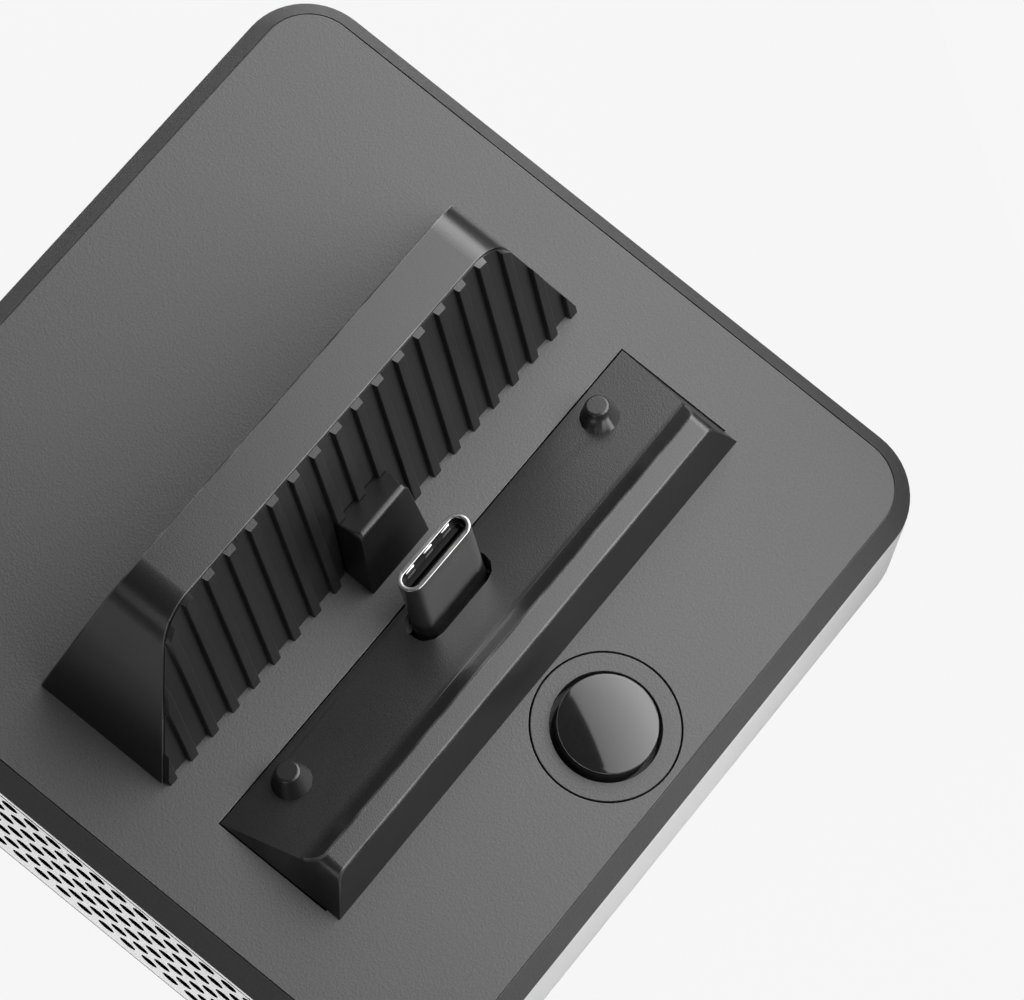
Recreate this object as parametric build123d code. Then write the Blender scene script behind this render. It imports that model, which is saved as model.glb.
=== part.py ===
from build123d import *
import math
import os

# A dock for a handheld games console. Millimetres, +Z up, origin on the floor at the middle of the case.
# X runs left to right seen from the front, and Y runs to the back.

# Case
body_width = 72.0
body_depth = 70.7
corner_radius = 6.4
body_height = 12.1
flare_width = 1.25
body_wall = 2.0
rim_width = 1.7
rim_height = 1.8
foot_lift = 0.9
base_thickness = 1.6
fit_gap = 0.1
locator_length = 12.0
locator_wall = 1.2
locator_depth = 1.6
locator_x = 19.0
seam_width = 0.25
seam_depth = 0.2
bottom_chamfer = 0.5

# Perforated panel in the left wall
grille_length = 40.0
grille_top = 0.55
grille_foot = 0.75
grille_thickness = 1.2
grille_corner = 0.6
grille_ledge = 0.35
hole_diameter = 1.3
hole_sides = 6
hole_pitch = 2.3
row_pitch = 1.43
hole_margin = 1.1

# Corner posts, their screws and the feet
post_inset = 6.5
post_radius = 2.9
base_screw_radius = 1.2
base_head_radius = 2.2
base_head_height = 0.9
base_screw_length = 8.0
pilot_gap = 0.05
foot_radius = 4.0
foot_inset = 15.0
foot_sides = 16
fixing_sides = 6

# Lean of the seated console, from upright
lean = 21.0

# Backrest
rest_side = 8.62
rest_depth = 12.85
rest_height = 17.1
rest_end_width = 6.3
rest_rear_width = 1.65
seat_gap = 5.67
rest_wall = 1.6
rest_cap = 4.0
rest_end_round = 4.2
rest_screw_x = 15.0
rest_screw_radius = 1.0
rest_screw_length = 7.0
rest_boss_radius = 2.2
rest_boss_height = 8.0
small_head_radius = 1.8
small_head_height = 1.0

# Ribbed pad on the backrest
pad_recess = 0.8
pad_border = 0.8
pad_top_border = 1.25
pad_skin = 0.12
skin_border = 0.12
rib_pitch = 2.66
rib_crest = 0.9
rib_root = 1.15
rib_height = 0.75
rib_drop = 0.05

# Guide tab
tab_depth = 3.08
tab_height = 7.9
tab_half = 3.74
tab_top_half = 3.0
tab_round = 0.9
tab_edge_round = 0.5
tab_gap = 0.12

# Seat tray
tray_side = 9.15
tray_depth = 12.45
tray_front_overlap = 1.5
lip_height = 4.1
lip_top_width = 1.95
lip_front_width = 2.15
lip_back_width = 1.1
lip_end_width = 1.95
lip_end_round = 1.2
floor_round = 2.0
tray_wall = 1.6
tray_skirt = 1.0
tray_end_wall = 2.6
tray_gap = 0.12
flange_width = 1.5
flange_thickness = 1.2
bump_side = 6.25
bump_back = 2.25
bump_base_radius = 1.75
bump_top_radius = 1.05
bump_height = 1.9
bump_sides = 16
tray_screw_radius = 0.7
tray_screw_bite = 1.2
tray_ear = 3.8
tray_ear_width = 4.4

# Plug that enters the console, standing square to the tray's floor
plug_length = 8.25
plug_thickness = 2.4
plug_height = 7.3
plug_back = 2.4
plug_wall = 0.28
slot_flats = 6
plug_slot_gap = 0.65
plug_lining_drop = 0.55
plug_tongue_length = 6.75
plug_tongue_gap = 0.8
plug_tongue_floor = 1.0
contact_count = 12
contact_pitch = 0.5
contact_width = 0.26
contact_depth = 0.12
contact_length = 4.0
contact_gap = 0.2
spring_count = 3
spring_pitch = 2.3
spring_width = 1.1
spring_height = 0.5
carrier_length = 15.0
carrier_front = 3.4
carrier_back = 1.7
carrier_height = 2.6
stub_x = 10.2
stub_radius = 1.8
plug_board_length = 25.0
plug_board_front = 3.6
plug_board_back = 2.4
plug_board_thickness = 1.0
flex_width = 8.0
flex_thickness = 0.3
flex_drop = 3.2
flex_bend = 1.0
flex_start = 1.6
flex_socket_length = 10.0
flex_socket_depth = 3.0
flex_socket_height = 1.5
flex_socket_gap = 1.5

# Push button
button_gap = 0.37
ring_front = 2.52
ring_radius = 6.33
cap_sides = 28
ring_bore = 4.74
ring_seam = 0.15
ring_flange = 0.6
ring_flange_thickness = 0.8
cap_gap = 0.45
cap_edge_rise = 0.95
cap_dome = 0.6
dome_steps = 4
cap_flange = 0.85
cap_flange_thickness = 0.8
cap_stop_gap = 0.1
stem_radius = 1.5
stem_length = 1.2
button_travel = 0.6
switch_size = 6.0
plunger_radius = 1.7
plunger_gap = 0.15
plunger_depth = 0.8
plunger_room = 0.3

# Main board and what stands on it
board_gap = 1.6
board_thickness = 1.6
board_lift = 2.0
board_notch_gap = 0.6
standoff_x = 24.0
standoff_front_y = -12.0
standoff_back_y = 14.0
standoff_radius = 2.2
board_screw_radius = 0.9
board_screw_length = 2.8
board_head_radius = 1.8
board_head_height = 1.1
chip_x = 9.0
chip_y = 8.0
converter_size = 8.0
hub_size = 7.0
chip_height = 1.2
thermal_pad_height = 0.7
heat_plate_half = 17.0
heat_plate_width = 16.0
heat_plate_thickness = 1.0
heat_foot = 3.0
coil_x = 19.0
coil_y = -5.5
coil_size = 6.6
coil_height = 3.0
coil_chamfer = 0.8
capacitor_radius = 2.0
capacitor_height = 4.4
capacitor_pitch = 5.0
capacitor_x = -19.0
capacitor_y = -5.5

# Sockets in the back wall
port_recess = 0.5
port_clearance = 0.25
port_wall = 0.35
hdmi_x = 1.5
hdmi_width = 15.0
hdmi_height = 5.5
hdmi_depth = 11.5
hdmi_chamfer = 1.3
hdmi_tongue_width = 11.2
hdmi_tongue_thickness = 1.0
usb_a_x = -18.0
usb_a_width = 13.2
usb_a_height = 5.8
usb_a_depth = 13.5
usb_a_tongue_width = 11.0
usb_a_tongue_thickness = 1.9
usb_c_x = 19.0
usb_c_width = 8.95
usb_c_height = 3.25
usb_c_depth = 7.6
usb_c_tongue_width = 6.7
usb_c_tongue_thickness = 0.7
tongue_inset = 0.6
socket_back = 2.0

# Levels and places
bottom_z = foot_lift
base_top_z = bottom_z + base_thickness
rim_z = bottom_z + body_height
plate_z = rim_z + rim_height
board_z = base_top_z + board_lift
deck_z = board_z + board_thickness
button_y = ring_front + ring_radius - body_depth / 2
tray_front_y = button_y + ring_radius + button_gap
tray_back_y = tray_front_y + tray_depth
tray_half = body_width / 2 - tray_side
rest_front_y = tray_back_y + seat_gap
rest_rear_y = rest_front_y + rest_depth
rest_half = body_width / 2 - rest_side

# Directions
tan_lean = math.tan(math.radians(lean))
sin_lean = math.sin(math.radians(lean))
cos_lean = math.cos(math.radians(lean))
BOTTOM = (Align.CENTER, Align.CENTER, Align.MIN)
REACH = 100.0


def block(x0, x1, y0, y1, z0, z1):
    size = Box(x1 - x0, y1 - y0, z1 - z0)
    return Pos((x0 + x1) / 2, (y0 + y1) / 2, (z0 + z1) / 2) * size


def post(x, y, radius, low, high, sides=0):
    """An upright post, round or with a number of flat sides."""
    outline = RegularPolygon(radius, sides) if sides else Circle(radius)
    return extrude(Plane.XY.offset(low) * Pos(x, y) * outline, high - low)


def fixing(x, y, radius, low, high):
    return post(x, y, radius, low, high, fixing_sides)


def side_prism(points, x0, x1):
    """A prism along X whose section is a list of (y, z) points."""
    section = make_face(Polyline(*points, close=True))
    return extrude(Plane.YZ.offset(x0) * section, x1 - x0)


def along_y(section, y0, y1):
    """Extrudes an (x, z) section from y0 to y1."""
    back = Plane(origin=(0, y1, 0), x_dir=(1, 0, 0), z_dir=(0, -1, 0))
    return extrude(back * section, y1 - y0)


def slot_outline(length, width):
    """A slot whose round ends are made of short flats."""
    radius = width / 2
    reach = length / 2 - radius
    turns = [math.pi * (index / slot_flats - 1 / 2) for index in range(slot_flats + 1)]
    right = [(reach + radius * math.cos(turn), radius * math.sin(turn)) for turn in turns]
    return make_face(Polyline(*right, *[(-x, -y) for x, y in right], close=True))


def gable(low_half, high_half, low, high):
    """A symmetric (x, z) trapezoid."""
    points = [(-low_half, low), (low_half, low), (high_half, high), (-high_half, high)]
    return make_face(Polyline(*points, close=True))


flare_angle = math.degrees(math.atan(flare_width / body_height))


def case_outline(z, inset):
    grow = flare_width * (rim_z - z) / body_height - inset
    outline = RectangleRounded(body_width + 2 * grow, body_depth + 2 * grow, corner_radius + grow)
    return Plane.XY.offset(z) * outline


def cavity(gap, low, high):
    """The straight inside of the case, or a plate that fits it with a gap all round."""
    inset = body_wall + gap
    outline = RectangleRounded(body_width - 2 * inset, body_depth - 2 * inset, corner_radius - inset)
    return extrude(Plane.XY.offset(low) * outline, high - low)


def corner_points(inset):
    x = body_width / 2 - inset
    y = body_depth / 2 - inset
    return [(x, y), (-x, y), (-x, -y), (x, -y)]


def save(shape, name):
    shape.label = name
    export_step(shape, "parts/" + name + ".step")


# The left wall's outer face: local X runs along the wall, local Y up it from the rim's lower edge
left_face = Plane(
    origin=(-body_width / 2, 0, rim_z), x_dir=(0, -1, 0), z_dir=(-body_height, 0, flare_width)
)
grille_height = math.hypot(body_height, flare_width) - grille_top - grille_foot
grille_centre_y = -grille_top - grille_height / 2


def grille_panel():
    """A thin panel with staggered rows of holes."""
    rows = int((grille_height - 2 * hole_margin) / row_pitch) + 1
    columns = int((grille_length - 2 * hole_margin) / hole_pitch) + 1
    holes = []
    for row in range(rows):
        count = columns - row % 2
        y = grille_height / 2 - hole_margin - row * row_pitch
        for index in range(count):
            x = (index - (count - 1) / 2) * hole_pitch
            holes.append(Pos(x, y) * RegularPolygon(hole_diameter / 2, hole_sides))
    panel = RectangleRounded(grille_length, grille_height, grille_corner)
    panel = Pos(0, grille_centre_y) * (panel - holes)
    return extrude(left_face * panel, -grille_thickness)


def grille_window():
    """The rebate that holds the panel, and the opening behind it."""
    rebate = RectangleRounded(
        grille_length + 2 * fit_gap, grille_height + 2 * fit_gap, grille_corner + fit_gap
    )
    opening = Rectangle(grille_length - 2 * grille_ledge, grille_height - 2 * grille_ledge)
    window = extrude(left_face * Pos(0, grille_centre_y) * rebate, -grille_thickness)
    window += extrude(left_face * Pos(0, grille_centre_y) * rebate, body_wall)
    window += extrude(left_face * Pos(0, grille_centre_y) * opening, -2 * body_wall)
    return window


# Sockets: each outline is drawn seen from behind, standing on the board
def hdmi_outline(grow):
    half = hdmi_width / 2 + grow
    low = deck_z - grow
    high = deck_z + hdmi_height + grow
    cut = hdmi_chamfer
    points = [
        (-half, high), (-half, low + cut), (-half + cut, low),
        (half - cut, low), (half, low + cut), (half, high),
    ]
    return make_face(Polyline(*[(hdmi_x + x, z) for x, z in points], close=True))


def usb_a_outline(grow):
    middle = deck_z + usb_a_height / 2
    return Pos(usb_a_x, middle) * Rectangle(usb_a_width + 2 * grow, usb_a_height + 2 * grow)


def usb_c_outline(grow):
    middle = deck_z + usb_c_height / 2
    return Pos(usb_c_x, middle) * slot_outline(usb_c_width + 2 * grow, usb_c_height + 2 * grow)


PORTS = {
    "hdmi": (hdmi_outline, hdmi_x, hdmi_height, hdmi_depth, hdmi_tongue_width, hdmi_tongue_thickness),
    "usb_a": (usb_a_outline, usb_a_x, usb_a_height, usb_a_depth, usb_a_tongue_width, usb_a_tongue_thickness),
    "usb_c": (usb_c_outline, usb_c_x, usb_c_height, usb_c_depth, usb_c_tongue_width, usb_c_tongue_thickness),
}
port_mouth_y = body_depth / 2 - port_recess


def port_windows():
    windows = Part()
    for outline, _, _, depth, _, _ in PORTS.values():
        windows += along_y(outline(port_clearance), port_mouth_y - depth, body_depth)
    return windows


def port_shell(name):
    outline, _, _, depth, _, _ = PORTS[name]
    shell = along_y(outline(0), port_mouth_y - depth, port_mouth_y)
    return shell - along_y(outline(-port_wall), port_mouth_y - depth + port_wall, port_mouth_y)


def port_tongue(name):
    """The insulator: a block at the back of the shell with a tongue that stops short of the mouth."""
    outline, x, height, depth, width, thickness = PORTS[name]
    inner_y = port_mouth_y - depth + port_wall
    tongue = along_y(outline(-port_wall), inner_y, inner_y + socket_back)
    middle = deck_z + height / 2
    blade = block(
        x - width / 2, x + width / 2, inner_y, port_mouth_y - tongue_inset,
        middle - thickness / 2, middle + thickness / 2,
    )
    return tongue + blade


def body_shell():
    chamfer_z = bottom_z + bottom_chamfer
    chamfer_angle = math.degrees(math.atan(1 - flare_width / body_height))
    shell = extrude(case_outline(chamfer_z, 0), rim_z - chamfer_z, taper=flare_angle)
    shell += extrude(case_outline(bottom_z, bottom_chamfer), bottom_chamfer, taper=-chamfer_angle)
    shell -= cavity(0, bottom_z, rim_z)
    shell -= grille_window()
    return shell - port_windows()


def base_cover():
    base = cavity(fit_gap, bottom_z, base_top_z)
    for x, y in board_screw_points():
        base += fixing(x, y, standoff_radius, base_top_z, board_z)
        base -= fixing(x, y, board_screw_radius + pilot_gap, base_top_z, board_z)
    for x, y in corner_points(post_inset):
        base -= fixing(x, y, base_screw_radius + pilot_gap, bottom_z, base_top_z)
        base -= fixing(x, y, base_head_radius + fit_gap, bottom_z, bottom_z + base_head_height)
    return base


def base_screws():
    screws = []
    for x, y in corner_points(post_inset):
        screw = fixing(x, y, base_head_radius, bottom_z, bottom_z + base_head_height)
        screws.append(screw + fixing(x, y, base_screw_radius, bottom_z, bottom_z + base_screw_length))
    return Compound(children=screws)


def rubber_feet():
    points = corner_points(foot_inset)
    return Compound(children=[post(x, y, foot_radius, 0, bottom_z, foot_sides) for x, y in points])


# The backrest's front face: local X runs along it, local Y up it
front_normal = (0, -cos_lean, sin_lean)
rest_face = Plane(origin=(0, rest_front_y, plate_z), x_dir=(1, 0, 0), z_dir=front_normal)
rest_length = rest_height / cos_lean
rest_end_slope = rest_end_width / rest_height


def rest_front(z):
    return rest_front_y + z * tan_lean


def rest_rear(z):
    return rest_rear_y - rest_rear_width * z / rest_height


def rest_end(z):
    return rest_half - rest_end_slope * z


rest_screw_y = (rest_front(0) + (pad_recess + rest_wall) / cos_lean + rest_rear(0) - rest_wall) / 2


def face_trapezoid(side_border, top_border, corner=0):
    """The front face's outline, moved in at its two ends and its top, and run on below the plate."""
    run = rest_end_slope * cos_lean
    edge = side_border * math.hypot(1, run)
    high = rest_length - top_border
    low = -2 * pad_recess
    half_low = rest_half - edge - run * low
    half_high = rest_half - edge - run * high
    points = [(-half_low, low), (half_low, low), (half_high, high), (-half_high, high)]
    outline = make_face(Polyline(*points, close=True))
    if corner:
        outline = fillet(outline.vertices().sort_by(Axis.Y)[-2:], corner)
    return outline


def rest_block(height, front, rear, ends):
    """A block with the backrest's slopes, its faces moved in by front, rear and ends."""
    profile = [
        (rest_front(0) + front, plate_z), (rest_front(height) + front, plate_z + height),
        (rest_rear(height) - rear, plate_z + height), (rest_rear(0) - rear, plate_z),
    ]
    face = gable(rest_end(0) - ends, rest_end(height) - ends, plate_z, plate_z + height)
    return side_prism(profile, -rest_half, rest_half) & along_y(face, rest_front_y, rest_rear_y)


def backrest():
    rest = rest_block(rest_height, 0, 0, 0)
    ends = rest.faces().sort_by(Axis.Z)[-1].edges().sort_by(Axis.X)
    rest = fillet([ends[0], ends[-1]], rest_end_round)
    front_wall = (pad_recess + rest_wall) / cos_lean
    rest -= rest_block(rest_height - rest_cap, front_wall, rest_wall, rest_wall)
    for x in (-rest_screw_x, rest_screw_x):
        rest += fixing(x, rest_screw_y, rest_boss_radius, plate_z, plate_z + rest_boss_height)
        rest -= fixing(x, rest_screw_y, rest_screw_radius + pilot_gap, plate_z, plate_z + rest_screw_length)
    recess = face_trapezoid(pad_border - fit_gap, pad_top_border - fit_gap)
    return rest - extrude(rest_face * recess, -pad_recess)


def tab_block(grow, back, corner=0, edge=0):
    """The guide tab, its top square to its leaning face, reaching back behind the backrest's face."""
    high = tab_height + grow
    front_y = rest_front_y - tab_depth
    top_front = (front_y + high * tan_lean, plate_z + high)
    thickness = tab_depth * cos_lean + back
    top_back = (top_front[0] + thickness * cos_lean, top_front[1] - thickness * sin_lean)
    foot_back = (rest_front(0) + back / cos_lean, plate_z)
    profile = make_face(Polyline((front_y, plate_z), top_front, top_back, foot_back, close=True))
    face = gable(tab_half + grow, tab_top_half + grow, plate_z, plate_z + high)
    if edge:
        profile = fillet(profile.vertices().sort_by_distance(top_front)[0], edge)
    if corner:
        face = fillet(face.vertices().sort_by(Axis.Y)[-2:], corner)
    side = extrude(Plane.YZ.offset(-tab_half - grow) * profile, 2 * (tab_half + grow))
    return side & along_y(face, front_y, top_back[0])


def backrest_pad():
    """A sheet that fills the backrest's recess, a thin skin over the whole face, and ribs that stand proud."""
    cover = rest_face * face_trapezoid(skin_border, skin_border, rest_end_round)
    reach = rest_face * face_trapezoid(skin_border, -rib_height * tan_lean, rest_end_round)
    sheet = extrude(rest_face * face_trapezoid(pad_border, pad_top_border), -pad_recess)
    sheet += extrude(cover, pad_skin)
    foot = rest_face.from_local_coords((0, -2 * pad_recess, 0))
    across = Plane(origin=foot, x_dir=(1, 0, 0), z_dir=rest_face.y_dir)
    sides = int(rest_half / rib_pitch) + 1
    ribs = []
    for index in range(-sides, sides + 1):
        x = index * rib_pitch
        points = [
            (x - rib_root / 2, 0), (x + rib_root / 2, 0),
            (x + rib_crest / 2, -rib_height), (x - rib_crest / 2, -rib_height),
        ]
        ribs.append(make_face(Polyline(*points, close=True)))
    ridges = extrude(across * Sketch(children=ribs), rest_length + 2 * pad_recess)
    pad = sheet + (ridges & extrude(reach, 2 * rib_height))
    pad &= block(-REACH, REACH, -REACH, REACH, plate_z, plate_z + rest_height - rib_drop)
    return pad - tab_block(tab_gap, 2 * pad_recess)


def guide_tab():
    return tab_block(0, pad_recess, tab_round, tab_edge_round)


def backrest_screws():
    screws = []
    for x in (-rest_screw_x, rest_screw_x):
        screw = fixing(x, rest_screw_y, small_head_radius, rim_z - small_head_height, rim_z)
        screws.append(screw + fixing(x, rest_screw_y, rest_screw_radius, rim_z, plate_z + rest_screw_length))
    return Compound(children=screws)


# The tray's floor: local Y runs to the back along it, from the tray's back edge
seat_plane = Plane(
    origin=(0, tray_back_y, plate_z), x_dir=(1, 0, 0), z_dir=(0, sin_lean, cos_lean)
)
plug_plane = Plane(
    origin=seat_plane.from_local_coords((0, -plug_back, 0)), x_dir=(1, 0, 0), z_dir=seat_plane.z_dir
)
plug_low = -tray_wall - carrier_height
opening_front_y = tray_front_y + tray_front_overlap
lip_front_y = tray_front_y + lip_front_width
lip_back_y = lip_front_y + lip_top_width
lip_foot_y = lip_back_y + lip_back_width


def floor_z(y):
    return plate_z + (tray_back_y - y) * tan_lean


def tray_opening(grow, low, high):
    return block(
        -tray_half - grow, tray_half + grow, opening_front_y - grow, tray_back_y + grow, low, high
    )


def stub_points():
    return [(-stub_x, 0), (stub_x, 0)]


def tray_screw_points():
    x = tray_half + tray_ear / 2
    y = (tray_front_y + tray_back_y) / 2
    return [(-x, y), (x, y)]


def seat_tray():
    points = [
        (tray_back_y, plate_z),
        (lip_foot_y, floor_z(lip_foot_y)),
        (lip_back_y, plate_z + lip_height),
        (lip_front_y, plate_z + lip_height),
        (tray_front_y, plate_z),
    ]
    section = make_face(Polyline(*points, close=True))
    corner = section.vertices().sort_by_distance((lip_foot_y, floor_z(lip_foot_y)))[0]
    section = fillet(corner, floor_round)
    tray = extrude(Plane.YZ.offset(-tray_half) * section, 2 * tray_half)
    ends = gable(tray_half, tray_half - lip_end_width, plate_z, plate_z + lip_height)
    tray &= along_y(ends, tray_front_y, tray_back_y)
    crown = tray.faces().sort_by(Axis.Z)[-1]
    crown_ends = crown.edges().sort_by(Axis.X)
    tray = fillet([crown_ends[0], crown_ends[-1]], lip_end_round)
    flange_low = rim_z - flange_thickness
    tray += tray_opening(0, flange_low, plate_z)
    tray += block(
        -tray_half - flange_width, tray_half + flange_width, opening_front_y, tray_back_y + flange_width,
        flange_low, rim_z,
    )
    ear_y = tray_screw_points()[0][1]
    tray += block(
        -tray_half - tray_ear, tray_half + tray_ear, ear_y - tray_ear_width / 2, ear_y + tray_ear_width / 2,
        flange_low, rim_z,
    )
    under = tray_wall / cos_lean
    skirt_y = tray_back_y - tray_skirt
    front_y = opening_front_y + tray_skirt
    roof_z = floor_z(lip_foot_y) - under
    hollow = [
        (skirt_y, flange_low), (skirt_y, floor_z(skirt_y) - under), (lip_foot_y, roof_z),
        (front_y, roof_z), (front_y, flange_low),
    ]
    tray -= side_prism(hollow, -tray_half + tray_end_wall, tray_half - tray_end_wall)
    for x, y in stub_points():
        stub = fixing(x, y, stub_radius, plug_low, -tray_wall)
        tray += plug_plane * (stub - fixing(x, y, tray_screw_radius + pilot_gap, plug_low, -tray_wall))
    slot = slot_outline(plug_length + 2 * plug_slot_gap, plug_thickness + 2 * plug_slot_gap)
    tray -= extrude(plug_plane * slot, tray_wall, both=True)
    for x in (bump_side - tray_half, tray_half - bump_side):
        bump_taper = math.degrees(math.atan((bump_base_radius - bump_top_radius) / bump_height))
        bump = extrude(RegularPolygon(bump_base_radius, bump_sides), bump_height, taper=bump_taper)
        tray += seat_plane * Pos(x, -bump_back / cos_lean, 0) * bump
    for x, y in tray_screw_points():
        tray -= fixing(x, y, tray_screw_radius + pilot_gap, flange_low, rim_z)
    return tray


def tray_screws():
    screws = []
    for x, y in tray_screw_points():
        low = rim_z - flange_thickness
        screw = fixing(x, y, small_head_radius, low - small_head_height, low)
        screws.append(screw + fixing(x, y, tray_screw_radius, low, rim_z + tray_screw_bite))
    return Compound(children=screws)


# Plug, drawn standing on the tray's floor and then tilted into place
def slot_prism(inset, low, high):
    outline = slot_outline(plug_length - 2 * inset, plug_thickness - 2 * inset)
    return extrude(Plane.XY.offset(low) * outline, high - low)


def plug_shell():
    shell = slot_prism(0, plug_low, plug_height) - slot_prism(plug_wall, plug_low, plug_height)
    return plug_plane * shell


def slot_bars(count, pitch, width, low, high):
    """Rows of small bars on the two long walls of the plug's tongue slot."""
    wall_y = plug_tongue_gap / 2
    bars = []
    for index in range(count):
        x = (index - (count - 1) / 2) * pitch
        bars.append(block(x - width / 2, x + width / 2, wall_y - contact_depth, wall_y, low, high))
        bars.append(block(x - width / 2, x + width / 2, -wall_y, contact_depth - wall_y, low, high))
    return Compound(children=bars)


spring_top = plug_height - plug_lining_drop
contact_top = spring_top - spring_height - contact_gap


def plug_contacts():
    low = contact_top - contact_length
    return plug_plane * slot_bars(contact_count, contact_pitch, contact_width, low, contact_top)


def plug_springs():
    low = spring_top - spring_height
    return plug_plane * slot_bars(spring_count, spring_pitch, spring_width, low, spring_top)


def plug_insulator():
    lining = slot_prism(plug_wall, plug_low, spring_top)
    lining -= block(
        -plug_tongue_length / 2, plug_tongue_length / 2, -plug_tongue_gap / 2, plug_tongue_gap / 2,
        plug_tongue_floor, plug_height,
    )
    return plug_plane * lining


def plug_carrier():
    carrier = block(
        -carrier_length / 2, carrier_length / 2, -carrier_front, carrier_back, plug_low, -tray_wall
    )
    half_length = plug_length / 2
    half_thickness = plug_thickness / 2
    hole = block(-half_length, half_length, -half_thickness, half_thickness, plug_low, -tray_wall)
    return plug_plane * (carrier - hole)


def plug_board():
    low = plug_low - plug_board_thickness
    board = block(
        -plug_board_length / 2, plug_board_length / 2, -plug_board_front, plug_board_back, low, plug_low
    )
    for x, y in stub_points():
        board -= fixing(x, y, tray_screw_radius + pilot_gap, low, plug_low)
    return plug_plane * board


def plug_board_screws():
    low = plug_low - plug_board_thickness
    screws = []
    for x, y in stub_points():
        screw = fixing(x, y, stub_radius, low - small_head_height, low)
        screw += fixing(x, y, tray_screw_radius, low, -tray_wall)
        screws.append(plug_plane * screw)
    return Compound(children=screws)


flex_middle_z = deck_z + flex_socket_height / 2
flex_socket_y = button_y + switch_size / 2 + flex_socket_gap + flex_socket_depth


def plug_flex():
    """A flat strip from the plug's board down and forward into its socket on the main board."""
    low = plug_low - plug_board_thickness
    start = plug_plane.from_local_coords((0, -flex_start, low))
    bend = plug_plane.from_local_coords((0, -flex_start, low - flex_drop))
    turn_y = (bend.Y + flex_socket_y) / 2
    route = FilletPolyline(
        (start.Y, start.Z), (bend.Y, bend.Z), (turn_y, flex_middle_z), (flex_socket_y, flex_middle_z),
        radius=flex_bend,
    )
    strip = trace(route, flex_thickness)
    return extrude(Plane.YZ.offset(-flex_width / 2) * strip, flex_width)


def flex_socket():
    return block(
        -flex_socket_length / 2, flex_socket_length / 2, flex_socket_y - flex_socket_depth, flex_socket_y,
        deck_z, deck_z + flex_socket_height,
    )


# Push button
ring_low = rim_z - ring_flange_thickness
cap_radius = ring_bore - cap_gap
cap_flange_top = ring_low - cap_stop_gap
cap_flange_low = cap_flange_top - cap_flange_thickness
stem_low = cap_flange_low - stem_length
switch_top = stem_low - button_travel


def button_ring():
    flange = post(0, button_y, ring_radius + ring_flange, ring_low, rim_z, cap_sides)
    ring = post(0, button_y, ring_radius, rim_z, plate_z)
    ring += flange & cavity(fit_gap, ring_low, rim_z)
    return ring - post(0, button_y, ring_bore, ring_low, plate_z)


def button_cap():
    """A domed cap with a stop flange under the ring and a stem down to the switch."""
    edge_z = plate_z + cap_edge_rise
    cap = post(0, button_y, cap_radius, cap_flange_low, edge_z, cap_sides)
    flat = math.cos(math.pi / cap_sides)
    shares = [1 - index / (dome_steps + 1 / 2) for index in range(dome_steps + 1)]
    for wide, narrow in zip(shares, shares[1:]):
        low = edge_z + cap_dome * (1 - wide ** 2)
        height = cap_dome * (wide ** 2 - narrow ** 2)
        taper = math.degrees(math.atan(cap_radius * flat * (wide - narrow) / height))
        outline = Pos(0, button_y) * RegularPolygon(cap_radius * wide, cap_sides)
        cap += extrude(Plane.XY.offset(low) * outline, height, taper=taper)
    cap += post(0, button_y, cap_radius + cap_flange, cap_flange_low, cap_flange_top, cap_sides)
    return cap + fixing(0, button_y, stem_radius, stem_low, cap_flange_low)


plunger_low = switch_top - plunger_depth


def switch_body():
    half = switch_size / 2
    body = block(-half, half, button_y - half, button_y + half, deck_z, switch_top)
    low = plunger_low - button_travel - plunger_room
    return body - fixing(0, button_y, plunger_radius + plunger_gap, low, switch_top)


def switch_plunger():
    return fixing(0, button_y, plunger_radius, plunger_low, stem_low)


def locators():
    """Straight ribs under the cover that fit inside the case's walls."""
    low = rim_z - locator_depth
    inner_x = body_width / 2 - body_wall - fit_gap
    inner_y = body_depth / 2 - body_wall - fit_gap
    half = locator_length / 2
    ribs = Part()
    for x in (-inner_x, inner_x - locator_wall):
        ribs += block(x, x + locator_wall, -half, half, low, rim_z)
    for y in (-inner_y, inner_y - locator_wall):
        for x in (-locator_x, locator_x):
            ribs += block(x - half, x + half, y, y + locator_wall, low, rim_z)
    return ribs


def top_cover():
    top_outline = RectangleRounded(
        body_width - 2 * rim_width, body_depth - 2 * rim_width, corner_radius - rim_width
    )
    cover = extrude(case_outline(rim_z, 0), rim_height, taper=math.degrees(math.atan(rim_width / rim_height)))
    cover += locators()
    inner = RectangleRounded(
        body_width - 2 * rim_width - 2 * seam_width, body_depth - 2 * rim_width - 2 * seam_width,
        corner_radius - rim_width - seam_width,
    )
    cover -= extrude(Plane.XY.offset(plate_z) * (top_outline - inner), -seam_depth)
    for x, y in corner_points(post_inset):
        cover += fixing(x, y, post_radius, base_top_z, rim_z)
        cover -= fixing(x, y, base_screw_radius + pilot_gap, base_top_z, bottom_z + base_screw_length)
    cover -= tray_opening(tray_gap, rim_z, plate_z)
    cover -= post(0, button_y, ring_radius + ring_seam, rim_z, plate_z)
    for x in (-rest_screw_x, rest_screw_x):
        cover -= fixing(x, rest_screw_y, rest_screw_radius + pilot_gap, rim_z, plate_z)
    for x, y in tray_screw_points():
        cover -= fixing(x, y, tray_screw_radius + pilot_gap, rim_z, rim_z + tray_screw_bite)
    return cover - port_windows()


# Main board
board_half_x = body_width / 2 - body_wall - board_gap
board_half_y = body_depth / 2 - body_wall - board_gap


def board_screw_points():
    ys = (standoff_front_y, standoff_back_y)
    return [(x, y) for x in (-standoff_x, standoff_x) for y in ys]


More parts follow.
